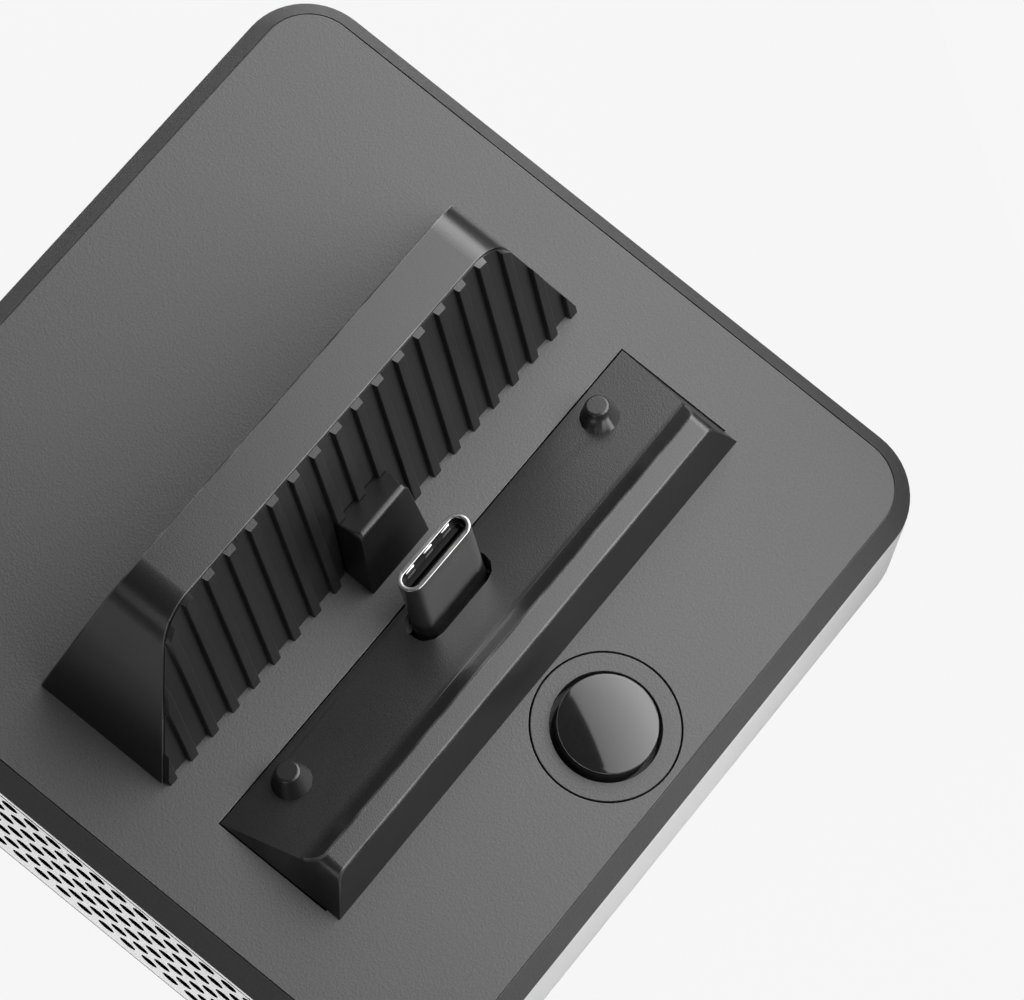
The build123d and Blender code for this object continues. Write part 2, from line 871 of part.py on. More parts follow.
def main_board():
    board = block(-board_half_x, board_half_x, -board_half_y, board_half_y, board_z, deck_z)
    notch = 2 * (post_radius + board_notch_gap)
    for x, y in corner_points(post_inset):
        near_x = math.copysign(abs(x) - notch / 2, x)
        near_y = math.copysign(abs(y) - notch / 2, y)
        x_span = sorted((near_x, math.copysign(body_width, x)))
        y_span = sorted((near_y, math.copysign(body_depth, y)))
        board -= block(*x_span, *y_span, board_z, deck_z)
    for x, y in board_screw_points():
        board -= fixing(x, y, board_screw_radius + pilot_gap, board_z, deck_z)
    return board


def board_screws():
    screws = []
    for x, y in board_screw_points():
        screw = fixing(x, y, board_head_radius, deck_z, deck_z + board_head_height)
        screws.append(screw + fixing(x, y, board_screw_radius, deck_z - board_screw_length, deck_z))
    return Compound(children=screws)


def chip(x, size):
    half = size / 2
    return block(x - half, x + half, chip_y - half, chip_y + half, deck_z, deck_z + chip_height)


def thermal_pads():
    low = deck_z + chip_height
    pads = []
    for x, size in ((-chip_x, converter_size), (chip_x, hub_size)):
        half = size / 2
        pads.append(block(x - half, x + half, chip_y - half, chip_y + half, low, low + thermal_pad_height))
    return Compound(children=pads)


def heat_plate():
    """A folded sheet: a deck over the chips with a leg and a foot at each end."""
    low = deck_z + chip_height + thermal_pad_height
    half_width = heat_plate_width / 2
    y0 = chip_y - half_width
    y1 = chip_y + half_width
    inner = heat_plate_half - heat_plate_thickness
    plate = block(-heat_plate_half, heat_plate_half, y0, y1, low, low + heat_plate_thickness)
    for side in (-1, 1):
        leg = sorted((side * inner, side * heat_plate_half))
        foot = sorted((side * inner, side * (inner + heat_foot)))
        plate += block(leg[0], leg[1], y0, y1, deck_z, low)
        plate += block(foot[0], foot[1], y0, y1, deck_z, deck_z + heat_plate_thickness)
    return plate


def power_coil():
    coil = Pos(coil_x, coil_y, deck_z) * Box(coil_size, coil_size, coil_height, align=BOTTOM)
    return chamfer(coil.edges().filter_by(Axis.Z), coil_chamfer)


def capacitors():
    high = deck_z + capacitor_height
    ys = (capacitor_y - capacitor_pitch / 2, capacitor_y + capacitor_pitch / 2)
    return Compound(children=[post(capacitor_x, y, capacitor_radius, deck_z, high, foot_sides) for y in ys])


os.makedirs("parts", exist_ok=True)

save(body_shell(), "body_shell")
save(grille_panel(), "left_grille")
save(top_cover(), "top_cover")
save(base_cover(), "base_cover")
save(rubber_feet(), "rubber_feet")
save(base_screws(), "base_screws")
save(backrest(), "backrest")
save(backrest_pad(), "backrest_pad")
save(guide_tab(), "guide_tab")
save(backrest_screws(), "backrest_screws")
save(seat_tray(), "seat_tray")
save(tray_screws(), "tray_screws")
save(plug_shell(), "plug_shell")
save(plug_insulator(), "plug_insulator")
save(plug_contacts(), "plug_contacts")
save(plug_springs(), "plug_springs")
save(plug_carrier(), "plug_carrier")
save(plug_board(), "plug_board")
save(plug_board_screws(), "plug_board_screws")
save(plug_flex(), "plug_flex")
save(flex_socket(), "flex_socket")
save(button_ring(), "button_ring")
save(button_cap(), "button_cap")
save(switch_body(), "switch_body")
save(switch_plunger(), "switch_plunger")
save(main_board(), "main_board")
save(board_screws(), "board_screws")
save(chip(-chip_x, converter_size), "converter_chip")
save(chip(chip_x, hub_size), "hub_chip")
save(thermal_pads(), "thermal_pads")
save(heat_plate(), "heat_plate")
save(power_coil(), "power_coil")
save(capacitors(), "capacitors")
for port in PORTS:
    save(port_shell(port), port + "_shell")
    save(port_tongue(port), port + "_tongue")
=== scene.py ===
# %% [markdown]
# # A desk dock for a handheld console
# The solids of this dock come from CAD with every size settled. Here they get their looks: soft
# moulded edges, a perforated side panel, rubber ribs, a glossy button, and a finish for every part.

# %% Load the frame
import math
from functools import partial

import bmesh
import bpy
from mathutils import Matrix, Vector


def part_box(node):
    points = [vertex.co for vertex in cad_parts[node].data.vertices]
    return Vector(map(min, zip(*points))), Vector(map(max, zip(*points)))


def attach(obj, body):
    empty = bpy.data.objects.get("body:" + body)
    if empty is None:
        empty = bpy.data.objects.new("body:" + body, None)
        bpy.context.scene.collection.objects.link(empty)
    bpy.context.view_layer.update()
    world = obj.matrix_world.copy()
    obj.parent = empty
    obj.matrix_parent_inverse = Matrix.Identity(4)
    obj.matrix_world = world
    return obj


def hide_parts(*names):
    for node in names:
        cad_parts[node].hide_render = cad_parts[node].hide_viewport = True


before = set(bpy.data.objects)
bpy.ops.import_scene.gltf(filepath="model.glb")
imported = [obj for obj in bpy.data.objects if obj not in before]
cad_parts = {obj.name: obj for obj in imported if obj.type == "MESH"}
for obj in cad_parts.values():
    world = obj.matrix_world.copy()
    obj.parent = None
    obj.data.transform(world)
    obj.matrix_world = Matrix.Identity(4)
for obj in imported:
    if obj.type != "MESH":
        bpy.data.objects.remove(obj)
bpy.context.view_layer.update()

MM = 0.001

# %% [markdown]
# ## Camera
# The dock is seen from high above its left side, with the picture turned so that the case stands on
# a corner. A long lens keeps its edges almost parallel. Three angles could place the camera, but
# three vectors are easier to read: where the eye is, the point it looks at, and which way is up in
# the picture. From them come the camera's three axes.

# %% Camera
EYE = Vector((-107.76, -38.25, 367.55)) * MM
AIM = Vector((10.25, -8.43, 14.8)) * MM
UP = Vector((0.7239, 0.6237, 0.2949))
SENSOR_WIDTH, FOCAL_LENGTH, NEAREST = 36, 157.04, 0.01


def new_object(name, data, place=None):
    """Puts a camera, a lamp or a mesh into the scene."""
    thing = bpy.data.objects.new(name, data)
    if place is not None:
        thing.matrix_world = place
    bpy.context.scene.collection.objects.link(thing)
    return thing


back = (EYE - AIM).normalized()
right = UP.cross(back).normalized()
view_axes = Matrix((right, back.cross(right), back)).transposed()
lens = bpy.data.cameras.new("camera")
lens.sensor_fit = "HORIZONTAL"
lens.sensor_width, lens.lens, lens.clip_start = SENSOR_WIDTH, FOCAL_LENGTH, NEAREST
bpy.context.scene.camera = new_object("camera", lens, Matrix.Translation(EYE) @ view_axes.to_4x4())
print("camera", round((EYE - AIM).length, 3), "m from the dock")

# %% [markdown]
# ## Room
# The dock stands on an even white ground, but a white room would flood its dark sides with light.
# So the world is pale for rays that come from the camera and dim for all others. The Light Path
# node tells them apart. Two renders laid over each other would do it too, but this way one render
# is enough.

# %% World
ROOM_DIM, ROOM_SEEN = 0.06, 1.0


def put(tree, kind, feeds=None, **options):
    """Adds a node, sets its options, and feeds its inputs with values or with other nodes' sockets."""
    node = tree.nodes.new(kind)
    for option, value in options.items():
        setattr(node, option, value)
    for label, value in (feeds or {}).items():
        if isinstance(value, bpy.types.NodeSocket):
            tree.links.new(value, node.inputs[label])
        else:
            node.inputs[label].default_value = value
    return node


def grey(value):
    """A neutral colour."""
    return (value, value, value, 1)


world = bpy.data.worlds.new("studio")
world.use_nodes = True
bpy.context.scene.world = world
bpy.context.scene.view_settings.view_transform = "Standard"
sky = world.node_tree
sky.nodes.clear()
dim = put(sky, "ShaderNodeBackground", {"Color": grey(0.9), "Strength": ROOM_DIM})
pale = put(sky, "ShaderNodeBackground", {"Color": grey(0.92), "Strength": ROOM_SEEN})
seen = put(sky, "ShaderNodeLightPath").outputs["Is Camera Ray"]
both = put(sky, "ShaderNodeMixShader", {0: seen, 1: dim.outputs[0], 2: pale.outputs[0]})
put(sky, "ShaderNodeOutputWorld", {"Surface": both.outputs[0]})
print("world", world.name, "has", len(sky.nodes), "nodes")

# %% [markdown]
# ## Lamps
# One big soft lamp hangs over the right side of the dock, and its edge passes just left of it.
# Level faces mirror the lamp into the camera and look light. Faces that turn away mirror the dim
# room beyond its edge. The lamp is brighter at its far side, so the tones climb from left to right:
# a Map Range node on the place across the lamp does that. A narrow strip on the floor lights the
# perforated wall, and a weak fill lamp lifts the left rim. Each strength is a brightness, so that a
# lamp can change its size and keep its look.

# %% Lamps


def lamp(name, size, brightness, place):
    """A flat lamp that the camera doesn't see. Its power follows from its size and brightness."""
    light = bpy.data.lights.new(name, "AREA")
    light.shape = "RECTANGLE"
    light.size, light.size_y = size
    light.energy = brightness * math.pi * light.size * light.size_y
    new_object(name, light, place).visible_camera = False
    print(name, "lamp of", [round(side, 3) for side in size], "m")
    return light


SIDE, ALONG = Vector((0.878, -0.479, 0)), Vector((0.479, 0.878, 0))
NEAR, FAR, FRONT, REAR, HIGH = 0.014, 0.45, -0.22, 0.5, 0.215
NEAR_GLOW, FAR_GLOW, CLIMB_SHARE = 3.1, 7.9, 0.4
middle = SIDE * (NEAR + FAR) / 2 + ALONG * (FRONT + REAR) / 2 + Vector((0, 0, HIGH))
sideways = Matrix.Rotation(math.atan2(SIDE.y, SIDE.x), 4, "Z")
overhead = lamp("overhead", (FAR - NEAR, REAR - FRONT), 1.0, Matrix.Translation(middle) @ sideways)
overhead.use_nodes = True
bulb = overhead.node_tree
spot = put(bulb, "ShaderNodeNewGeometry").outputs["Parametric"]
climb = put(bulb, "ShaderNodeMapRange", {
    "Value": put(bulb, "ShaderNodeSeparateXYZ", {"Vector": spot}).outputs["X"],
    "From Min": 0.0, "From Max": CLIMB_SHARE, "To Min": NEAR_GLOW, "To Max": FAR_GLOW,
})
bulb.links.new(climb.outputs[0], bulb.nodes["Emission"].inputs["Strength"])

STRIP_SPOT = Vector((-0.043, 0, 0.0004))
lamp("strip", (0.016, 0.1), 1.1, Matrix.Translation(STRIP_SPOT) @ Matrix.Rotation(math.pi, 4, "X"))

FILL_WAY, FILL_AWAY = Vector((-0.92, -0.1, 0.37)), 0.4
fill_turn = FILL_WAY.to_track_quat("Z", "Y").to_matrix().to_4x4()
lamp("fill", (0.2, 0.16), 1.8, Matrix.Translation(FILL_WAY * FILL_AWAY) @ fill_turn)

# %% [markdown]
# ## Floor
# A pale sheet lies under the dock. The camera sees it glow evenly, as paper in a light tent does.
# To the dock it is plain paper, or its glow would fill the dark sides. A lit floor could be made
# with more lamps, but then their light would reach the dock too. The Light Path node keeps the two
# apart.

# %% Floor
FLOOR_HALF, FLOOR_GLOW, GLOW_SHARE = 3.0, 0.925, 0.99


def calc(tree, operation, *values):
    """One sum on values or sockets."""
    return put(tree, "ShaderNodeMath", dict(enumerate(values)), operation=operation).outputs[0]


def new_material(name):
    """A material with a lone shader: the material, its tree and the shader."""
    material = bpy.data.materials.new(name)
    material.use_nodes = True
    tree = material.node_tree
    tree.nodes.clear()
    return material, tree, put(tree, "ShaderNodeBsdfPrincipled")


def dull_sheet(name, scale, detail, tones, rough):
    """A dull material whose tone wanders between two greys: the material, its tree and its surface."""
    material, tree, shader = new_material(name)
    cloud = put(tree, "ShaderNodeTexNoise", {"Scale": scale, "Detail": detail})
    tone = put(tree, "ShaderNodeMapRange", {
        "Value": cloud.outputs[0], "To Min": tones[0], "To Max": tones[1],
    })
    tree.links.new(tone.outputs[0], shader.inputs["Base Color"])
    shader.inputs["Roughness"].default_value = rough
    return material, tree, shader.outputs[0]


def mesh_of(shape, name):
    """Turns a bmesh into a mesh, and frees it."""
    mesh = bpy.data.meshes.new(name)
    shape.to_mesh(mesh)
    shape.free()
    return mesh


paper, tree, surface = dull_sheet("floor_paper", 9.0, 3.0, (0.36, 0.4), 0.8)
glow = put(tree, "ShaderNodeEmission", {"Color": grey(1), "Strength": FLOOR_GLOW})
seen = put(tree, "ShaderNodeLightPath").outputs["Is Camera Ray"]
mixed = put(tree, "ShaderNodeMixShader", {
    0: calc(tree, "MULTIPLY", seen, GLOW_SHARE), 1: surface, 2: glow.outputs[0],
})
put(tree, "ShaderNodeOutputMaterial", {"Surface": mixed.outputs[0]})
sheet = bmesh.new()
bmesh.ops.create_grid(sheet, x_segments=8, y_segments=8, size=FLOOR_HALF)
floor = mesh_of(sheet, "floor")
floor.materials.append(paper)
new_object("floor", floor)
print("floor of", 2 * FLOOR_HALF, "m")

# %% [markdown]
# ## Black card
# The sloped rim on the right mirrors what stands beside it. Photographers shape such an edge with a
# black card just outside the picture. This one stands at a slant, so the rim darkens towards the
# front corner. Turning a lamp down would darken the plate as well.

# %% Card
CARD_NEAR, CARD_FAR = Vector((0.041, -0.06, 0)), Vector((0.125, 0.06, 0))
CARD_HIGH = Vector((0, 0, 0.042))
felt, tree, surface = dull_sheet("card_felt", 400.0, 2.0, (0.01, 0.02), 0.9)
put(tree, "ShaderNodeOutputMaterial", {"Surface": surface})
mesh = bpy.data.meshes.new("card")
mesh.from_pydata([CARD_NEAR, CARD_FAR, CARD_FAR + CARD_HIGH, CARD_NEAR + CARD_HIGH], [], [(0, 1, 2, 3)])
mesh.materials.append(felt)
card = new_object("card", mesh)
card.visible_camera = False
print("card", round((CARD_FAR - CARD_NEAR).length, 3), "m long beside the right wall")

# %% [markdown]
# ## Shared effects
# Most parts share a few effects: the grain that a mould leaves, slow changes of tone and gloss, and
# a painted highlight on bevelled edges, broken up by patches of wear. Each material could draw them
# anew, but a node group with named inputs is built once and takes each material's own values. The
# groups put out plain values, and each material mixes them.

# %% Shader groups


def effect(name, inputs, outputs):
    """A shader group with named inputs and outputs."""
    tree = bpy.data.node_groups.new(name, "ShaderNodeTree")
    for label, kind in inputs:
        tree.interface.new_socket(label, in_out="INPUT", socket_type="NodeSocket" + kind)
    for label in outputs:
        tree.interface.new_socket(label, in_out="OUTPUT", socket_type="NodeSocketFloat")
    return tree, tree.nodes.new("NodeGroupInput").outputs, tree.nodes.new("NodeGroupOutput").inputs


def noise(tree, given, detail, low, high):
    """Noise on the given place and scale, as it comes and with low to high stretched to 0 to 1."""
    cloud = put(tree, "ShaderNodeTexNoise", {
        "Vector": given["Vector"], "Scale": given["Scale"], "Detail": detail,
    }).outputs[0]
    spread = put(tree, "ShaderNodeMapRange", {"Value": cloud, "From Min": low, "From Max": high})
    return cloud, spread.outputs[0]


PLACE = [("Vector", "Vector"), ("Scale", "Float")]
grain, given, out = effect("mould_grain", PLACE, ["Height", "Tint"])
fine, tint = noise(grain, given, 2.0, 0.25, 0.75)
cells = put(grain, "ShaderNodeTexVoronoi", {"Vector": given["Vector"], "Scale": given["Scale"]})
grain.links.new(calc(grain, "ADD", fine, cells.outputs["Distance"]), out["Height"])
grain.links.new(tint, out["Tint"])

mottle, given, out = effect("slow_mottle", PLACE, ["Patch"])
mottle.links.new(noise(mottle, given, 4.0, 0.3, 0.7)[1], out["Patch"])

# Painted highlight: faces marked soft_edge are lightened, broken up by noise that stands for wear.
highlight_tree, given, out = effect("rubbed_edge", [("Edge", "Float")] + PLACE, ["Rub"])
highlight_breakup = noise(highlight_tree, given, 3.0, 0.35, 0.65)[1]
highlight_tree.links.new(calc(highlight_tree, "MULTIPLY", highlight_breakup, given["Edge"]), out["Rub"])
print("groups:", grain.name, mottle.name, highlight_tree.name)

# %% [markdown]
# ## Material recipe
# A moulded finish starts from two tones of one colour. Grain and slow patches move between them, a
# painted highlight lightens the bevelled edges, and the grain also raises the surface through a Bump
# node. Metals use the same recipe with finer grain. A picture could hold all this, but noise on
# Object coordinates needs no file, never repeats, and stays fixed to its part at true size.

# %% Material recipe
GRAIN_SHARE, BUMP_STRENGTH, HIGHLIGHT_BREAKUP_SCALE = 0.6, 0.6, 250.0
HIGHLIGHT_TIMES, HIGHLIGHT_PLUS, HOLE_SHADE_BLACK = 1.5, 0.12, grey(0.004)
FINISHES = {}


def blend(tree, share, one, two):
    """A colour between two colours."""
    return put(tree, "ShaderNodeMixRGB", {"Fac": share, "Color1": one, "Color2": two}).outputs[0]


def finish(name, dark, light, rough, grain_mm=0.25, relief_mm=0.02, patch_mm=9.0,
           highlight=0.3, metal=0.0, coat=0.0, shine=0.5, deep=False):
    """Adds a finish between two colours. rough is its lowest and highest roughness."""
    material, tree, shader = new_material(name)
    shared = partial(put, tree, "ShaderNodeGroup")
    place = put(tree, "ShaderNodeTexCoord").outputs["Object"]
    fine = shared({"Vector": place, "Scale": 1000 / grain_mm}, node_tree=grain).outputs
    patch = shared({"Vector": place, "Scale": 1000 / patch_mm}, node_tree=mottle).outputs["Patch"]
    edge = put(tree, "ShaderNodeAttribute", attribute_name="soft_edge").outputs["Fac"]
    edge_highlight = shared({"Edge": edge, "Vector": place, "Scale": HIGHLIGHT_BREAKUP_SCALE}, node_tree=highlight_tree).outputs["Rub"]
    slow = calc(tree, "MULTIPLY", patch, 1 - GRAIN_SHARE)
    tones = blend(tree, calc(tree, "MULTIPLY_ADD", fine["Tint"], GRAIN_SHARE, slow), dark, light)
    # Painted highlight: marked bevel faces blend towards a paler colour, by each finish's share.
    highlight_colour = [min(1.0, channel * HIGHLIGHT_TIMES + HIGHLIGHT_PLUS) for channel in light[:3]] + [1]
    colour = blend(tree, calc(tree, "MULTIPLY", edge_highlight, highlight), tones, highlight_colour)
    # Painted shade: the sides of the holes, marked in the panel tree, blend towards black.
    if deep:
        hole_shade_mask = put(tree, "ShaderNodeAttribute", attribute_name="deep").outputs["Fac"]
        colour = blend(tree, hole_shade_mask, colour, HOLE_SHADE_BLACK)
    gloss = put(tree, "ShaderNodeMapRange", {"Value": patch, "To Min": rough[0], "To Max": rough[1]})
    bump = put(tree, "ShaderNodeBump", {
        "Height": fine["Height"], "Distance": relief_mm * MM, "Strength": BUMP_STRENGTH,
    })
    tree.links.new(colour, shader.inputs["Base Color"])
    tree.links.new(gloss.outputs[0], shader.inputs["Roughness"])
    tree.links.new(bump.outputs[0], shader.inputs["Normal"])
    shader.inputs["Metallic"].default_value = metal
    shader.inputs["Coat Weight"].default_value = coat
    shader.inputs["Specular IOR Level"].default_value = shine
    put(tree, "ShaderNodeOutputMaterial", {"Surface": shader.outputs[0]})
    FINISHES[name] = material


print("recipe with", GRAIN_SHARE, "of its tone from the grain")

# %% [markdown]
# ## Finishes of the case
# Each slot of the part's record gets one finish. The walls are silver paint. The perforated panel
# is a lighter, less metallic silver, which paints in light that the shaded left wall lacks, and the
# sides of its holes carry painted shade. The cover and the button's ring share a coarse, dull grain,
# the dock's most visible one. The base and the feet are black.

# %% Finishes of the case
finish("case_silver", grey(0.62), grey(0.72), (0.34, 0.42), 0.12, 0.004, metal=0.8)
# Painted light: the panel's silver is lighter than the case's, to lift the shaded left wall.
finish("grille_silver", grey(0.7), grey(0.8), (0.36, 0.44), 0.12, 0.004, metal=0.4, deep=True)
for name in ("cover_grey", "ring_grey"):
    finish(name, grey(0.02), grey(0.034), (0.52, 0.58), 0.2, 0.02, 14.0)
finish("base_black", grey(0.015), grey(0.03), (0.5, 0.6), 0.3, 0.03)
finish("foot_rubber", grey(0.02), grey(0.035), (0.75, 0.85), 0.2, 0.02)
finish("screw_steel", grey(0.35), grey(0.5), (0.25, 0.4), 0.15, 0.003, metal=1.0)
print("finishes so far:", len(FINISHES))

# %% [markdown]
# ## Finishes of the seat, plug and button
# The seat's plastics are darker and glossier than the cover, with a finer grain. The plug is drawn
# steel with a black lining. The button has no grain to see, and a thin clear coat.

# %% Finishes of the seat, plug and button
finish("rest_black", grey(0.008), grey(0.013), (0.28, 0.32), 0.16, 0.006, 12.0, highlight=0.5, shine=0.46)
finish("pad_rubber", grey(0.007), grey(0.012), (0.32, 0.38), 0.18, 0.008, 8.0, shine=0.46)
finish("tab_black", grey(0.004), grey(0.008), (0.3, 0.36), 0.16, 0.006, 6.0, highlight=0.05, shine=0.4)
finish("tray_black", grey(0.008), grey(0.014), (0.28, 0.34), 0.15, 0.009, 12.0, highlight=0.28, shine=0.45)
finish("plug_steel", grey(0.38), grey(0.46), (0.2, 0.28), 0.1, 0.002, 3.0, metal=1.0)
finish("plug_black", grey(0.006), grey(0.01), (0.14, 0.2), 0.15, 0.003, 4.0, shine=0.4)
finish("spring_steel", grey(0.7), grey(0.85), (0.15, 0.22), 0.1, 0.002, metal=1.0)
finish("button_gloss", grey(0.006), grey(0.01), (0.08, 0.1), 0.3, 0.0, 6.0,
       highlight=1.0, coat=0.03, shine=0.45)
print("finishes so far:", len(FINISHES))

# %% [markdown]
# ## Finishes inside
# Hidden parts get theirs too, because a hole or a gap may show them, and because the model can be
# taken apart.

# %% Finishes inside
finish("contact_gold", (0.7, 0.48, 0.16, 1), (0.83, 0.6, 0.25, 1), (0.2, 0.3), 0.1, 0.002, metal=1.0)
finish("board_green", (0.01, 0.07, 0.03, 1), (0.02, 0.12, 0.05, 1), (0.3, 0.4), 0.3, 0.006)
finish("flex_amber", (0.3, 0.12, 0.02, 1), (0.4, 0.18, 0.03, 1), (0.3, 0.4), 0.3, 0.004)
finish("switch_black", grey(0.015), grey(0.03), (0.4, 0.5), 0.2, 0.01)
finish("chip_black", grey(0.02), grey(0.03), (0.5, 0.6), 0.2, 0.01)
finish("thermal_grey", grey(0.25), grey(0.33), (0.7, 0.8), 0.3, 0.02)
finish("heat_silver", grey(0.6), grey(0.72), (0.3, 0.4), 0.15, 0.004, metal=1.0)
finish("coil_dark", grey(0.06), grey(0.1), (0.6, 0.7), 0.25, 0.02)
finish("capacitor_silver", grey(0.6), grey(0.7), (0.25, 0.35), 0.15, 0.003, metal=1.0)
finish("socket_steel", grey(0.5), grey(0.62), (0.24, 0.34), 0.12, 0.003, metal=1.0)
finish("socket_black", grey(0.015), grey(0.025), (0.45, 0.55), 0.2, 0.01)
print("finishes in all:", len(FINISHES))

# %% [markdown]
# ## Pieces
# A mesh becomes a piece of the dock when it has its finish and rides on the dock or on the button,
# and the CAD solids that it replaces are hidden. Smooth shading alone would bend the light over wide
# flat faces.
# The Weighted Normal modifier lets large faces win, which costs less than extra rings of edges.

# %% Piece helpers


def discard(thing):
    """Removes an object and its mesh."""
    spent = thing.data
    bpy.data.objects.remove(thing)
    bpy.data.meshes.remove(spent)


def plain_mesh(holder):
    """The mesh that an object's modifiers give. The object itself is removed."""
    depsgraph = bpy.context.evaluated_depsgraph_get()
    name = holder.data.name
    mesh = bpy.data.meshes.new_from_object(holder.evaluated_get(depsgraph), depsgraph=depsgraph)
    discard(holder)
    mesh.name = name
    return mesh


def finish_piece(mesh, name, slot, body="dock", nodes=(), angle=40):
    """Makes a mesh a piece with its finish. Edges sharper than the angle stay crisp."""
    mesh.shade_smooth()
    mesh.set_sharp_from_angle(angle=math.radians(angle))
    holder = new_object(name, mesh)
    holder.modifiers.new("even", "WEIGHTED_NORMAL").keep_sharp = True
    mesh = plain_mesh(holder)
    mesh.materials.clear()
    mesh.materials.append(FINISHES[slot])
    piece = new_object(name, mesh)
    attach(piece, body)
    if nodes:
        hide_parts(*nodes)
    print(name, "has", len(mesh.polygons), "faces")


print("pieces can have", len(FINISHES), "finishes")

# %% [markdown]
# ## Softened copies
# A moulded part never has a knife edge, and the thin bright line that an edge catches is what makes
# it look real. A CAD node's mesh is loose triangles, so its copy is welded first and its flat areas
# are joined. Then the sharp outer edges are bevelled, and the new faces are marked so that the finish
# can paint a highlight on them, on top of the light the bevel really catches. A Bevel modifier
# would round every edge, also those that nobody sees.

# %% Softened copy helpers
WELD, FLAT_ANGLE = 0.002 * MM, math.radians(1)


def cad_copy(node):
    """A welded copy of a CAD node, with its flat areas joined."""
    shape = bmesh.new()
    shape.from_mesh(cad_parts[node].data)
    bmesh.ops.remove_doubles(shape, verts=shape.verts, dist=WELD)
    bmesh.ops.dissolve_limit(shape, angle_limit=FLAT_ANGLE, verts=shape.verts, edges=shape.edges)
    return shape


def soften(shape, radius, pick=None, steps=3, sharp=30):
    """Rounds the outward edges that a function picks and marks the new faces for painted highlight."""
    mark = shape.faces.layers.float.get("soft_edge") or shape.faces.layers.float.new("soft_edge")
    edges = []
    for edge in shape.edges:
        if edge.is_manifold and edge.is_convex and edge.calc_face_angle() > math.radians(sharp):
            if pick is None or pick(*[vert.co / MM for vert in edge.verts]):
                edges.append(edge)
    made = bmesh.ops.bevel(
        shape, geom=edges, offset=radius * MM, offset_type="OFFSET", segments=steps, profile=0.5,
        affect="EDGES", clamp_overlap=False,
    )
    # Marked faces get a painted highlight from the finish.
    for face in made["faces"]:
        face[mark] = 1.0
    print("softened", len(edges), "edges by", radius, "mm")


def softened_piece(node, name, slot, radius, pick=None, steps=3):
    """A copy of a CAD node with softened edges, which stands for it."""
    shape = cad_copy(node)
    soften(shape, radius, pick, steps)
    finish_piece(mesh_of(shape, name), name, slot, nodes=(node,))


print("copies are welded at", round(WELD / MM, 4), "mm")

# %% [markdown]
# ## Case
# The silver case flares a little towards the floor. The grey cover sits on it with a sloped rim,
# and the base closes it from below. Only edges that can be seen are softened: those of the posts
# inside stay as they are. The real seam round the plate is a hairline, so the plate's wall moves
# out a little and closes it up.

# %% Case
RIM_DROP, CORNER = 1.8, 6.4
PLATE_EDGE, SEAM_CLOSE, SEAM_DEPTH, SEAM_NEAR = 1.95, 0.15, 0.3, 0.03
COVER_SOFT, CASE_SOFT, BASE_TOP, SLACK = 0.05, 0.1, 2.0, 0.01
cover_low, cover_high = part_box("top_cover")
PLATE = cover_high.z / MM
RIM = PLATE - RIM_DROP


def above(level):
    """Picks edges that lie above a level."""
    return lambda a, b: min(a.z, b.z) > level - SLACK


cover = cad_copy("top_cover")
plate_round = CORNER - PLATE_EDGE
straight = cover_high / MM - Vector((CORNER, CORNER, 0))
for vert in cover.verts:
    x, y, z = vert.co / MM
    reach = Vector((max(abs(x) - straight.x, 0), max(abs(y) - straight.y, 0), 0))
    if z > PLATE - SEAM_DEPTH and abs(reach.length - plate_round) < SEAM_NEAR:
        reach = reach.normalized() * SEAM_CLOSE * MM
        vert.co += Vector((math.copysign(reach.x, x), math.copysign(reach.y, y), 0))
soften(cover, COVER_SOFT, above(RIM), 2)
finish_piece(mesh_of(cover, "cover"), "cover", "cover_grey", nodes=("top_cover",))
softened_piece("body_shell", "case", "case_silver", CASE_SOFT)
softened_piece("base_cover", "base", "base_black", CASE_SOFT, lambda a, b: max(a.z, b.z) < BASE_TOP, 2)

# %% [markdown]
# ## Perforated panel
# Rows of small oval holes let the warm air out of the left wall, staggered by half a pitch. Cutting
# each hole with a Boolean would be slow and leave poor faces. Here two grids of points carry the
# hole's outline, and Fill Curve turns the panel's outline and the holes into one face, which is
# then given its thickness. The sides of the holes are marked for painted shade, which the finish
# draws near black. The panel is drawn flat and laid on the sloping wall at the end.

# %% Tree helpers


def node_tree(name, inputs):
    """A Geometry Nodes tree with named inputs, the sockets they arrive on, and its way out."""
    tree = bpy.data.node_groups.new(name, "GeometryNodeTree")
    tree.is_modifier = True
    tree.interface.new_socket("Geometry", in_out="INPUT", socket_type="NodeSocketGeometry")
    for label, kind in inputs.items():
        tree.interface.new_socket(label, in_out="INPUT", socket_type="NodeSocket" + kind)
    tree.interface.new_socket("Geometry", in_out="OUTPUT", socket_type="NodeSocketGeometry")
    return tree, tree.nodes.new("NodeGroupInput").outputs, tree.nodes.new("NodeGroupOutput").inputs[0]


def joined(tree, *sockets):
    """Several geometries as one."""
    join = tree.nodes.new("GeometryNodeJoinGeometry")
    for socket in sockets:
        tree.links.new(socket, join.inputs[0])
    return join.outputs[0]


def ending(tree, shape, material, out):
    """Every tree ends in real geometry with a material."""
    real = put(tree, "GeometryNodeRealizeInstances", {"Geometry": shape})
    done = put(tree, "GeometryNodeSetMaterial", {"Geometry": real.outputs[0], "Material": material})
    tree.links.new(done.outputs[0], out)
    print("tree", tree.name, "has", len(tree.nodes), "nodes")


def grown(tree, name, values, start=None):
    """The plain mesh that a tree grows from its named values."""
    holder = new_object(name, start or bpy.data.meshes.new(name))
    grower = holder.modifiers.new("grow", "NODES")
    grower.node_group = tree
    for item in tree.interface.items_tree:
        if item.in_out == "INPUT" and item.name in values:
            grower[item.identifier] = values[item.name]
    return plain_mesh(holder)


print("helpers for trees are ready")

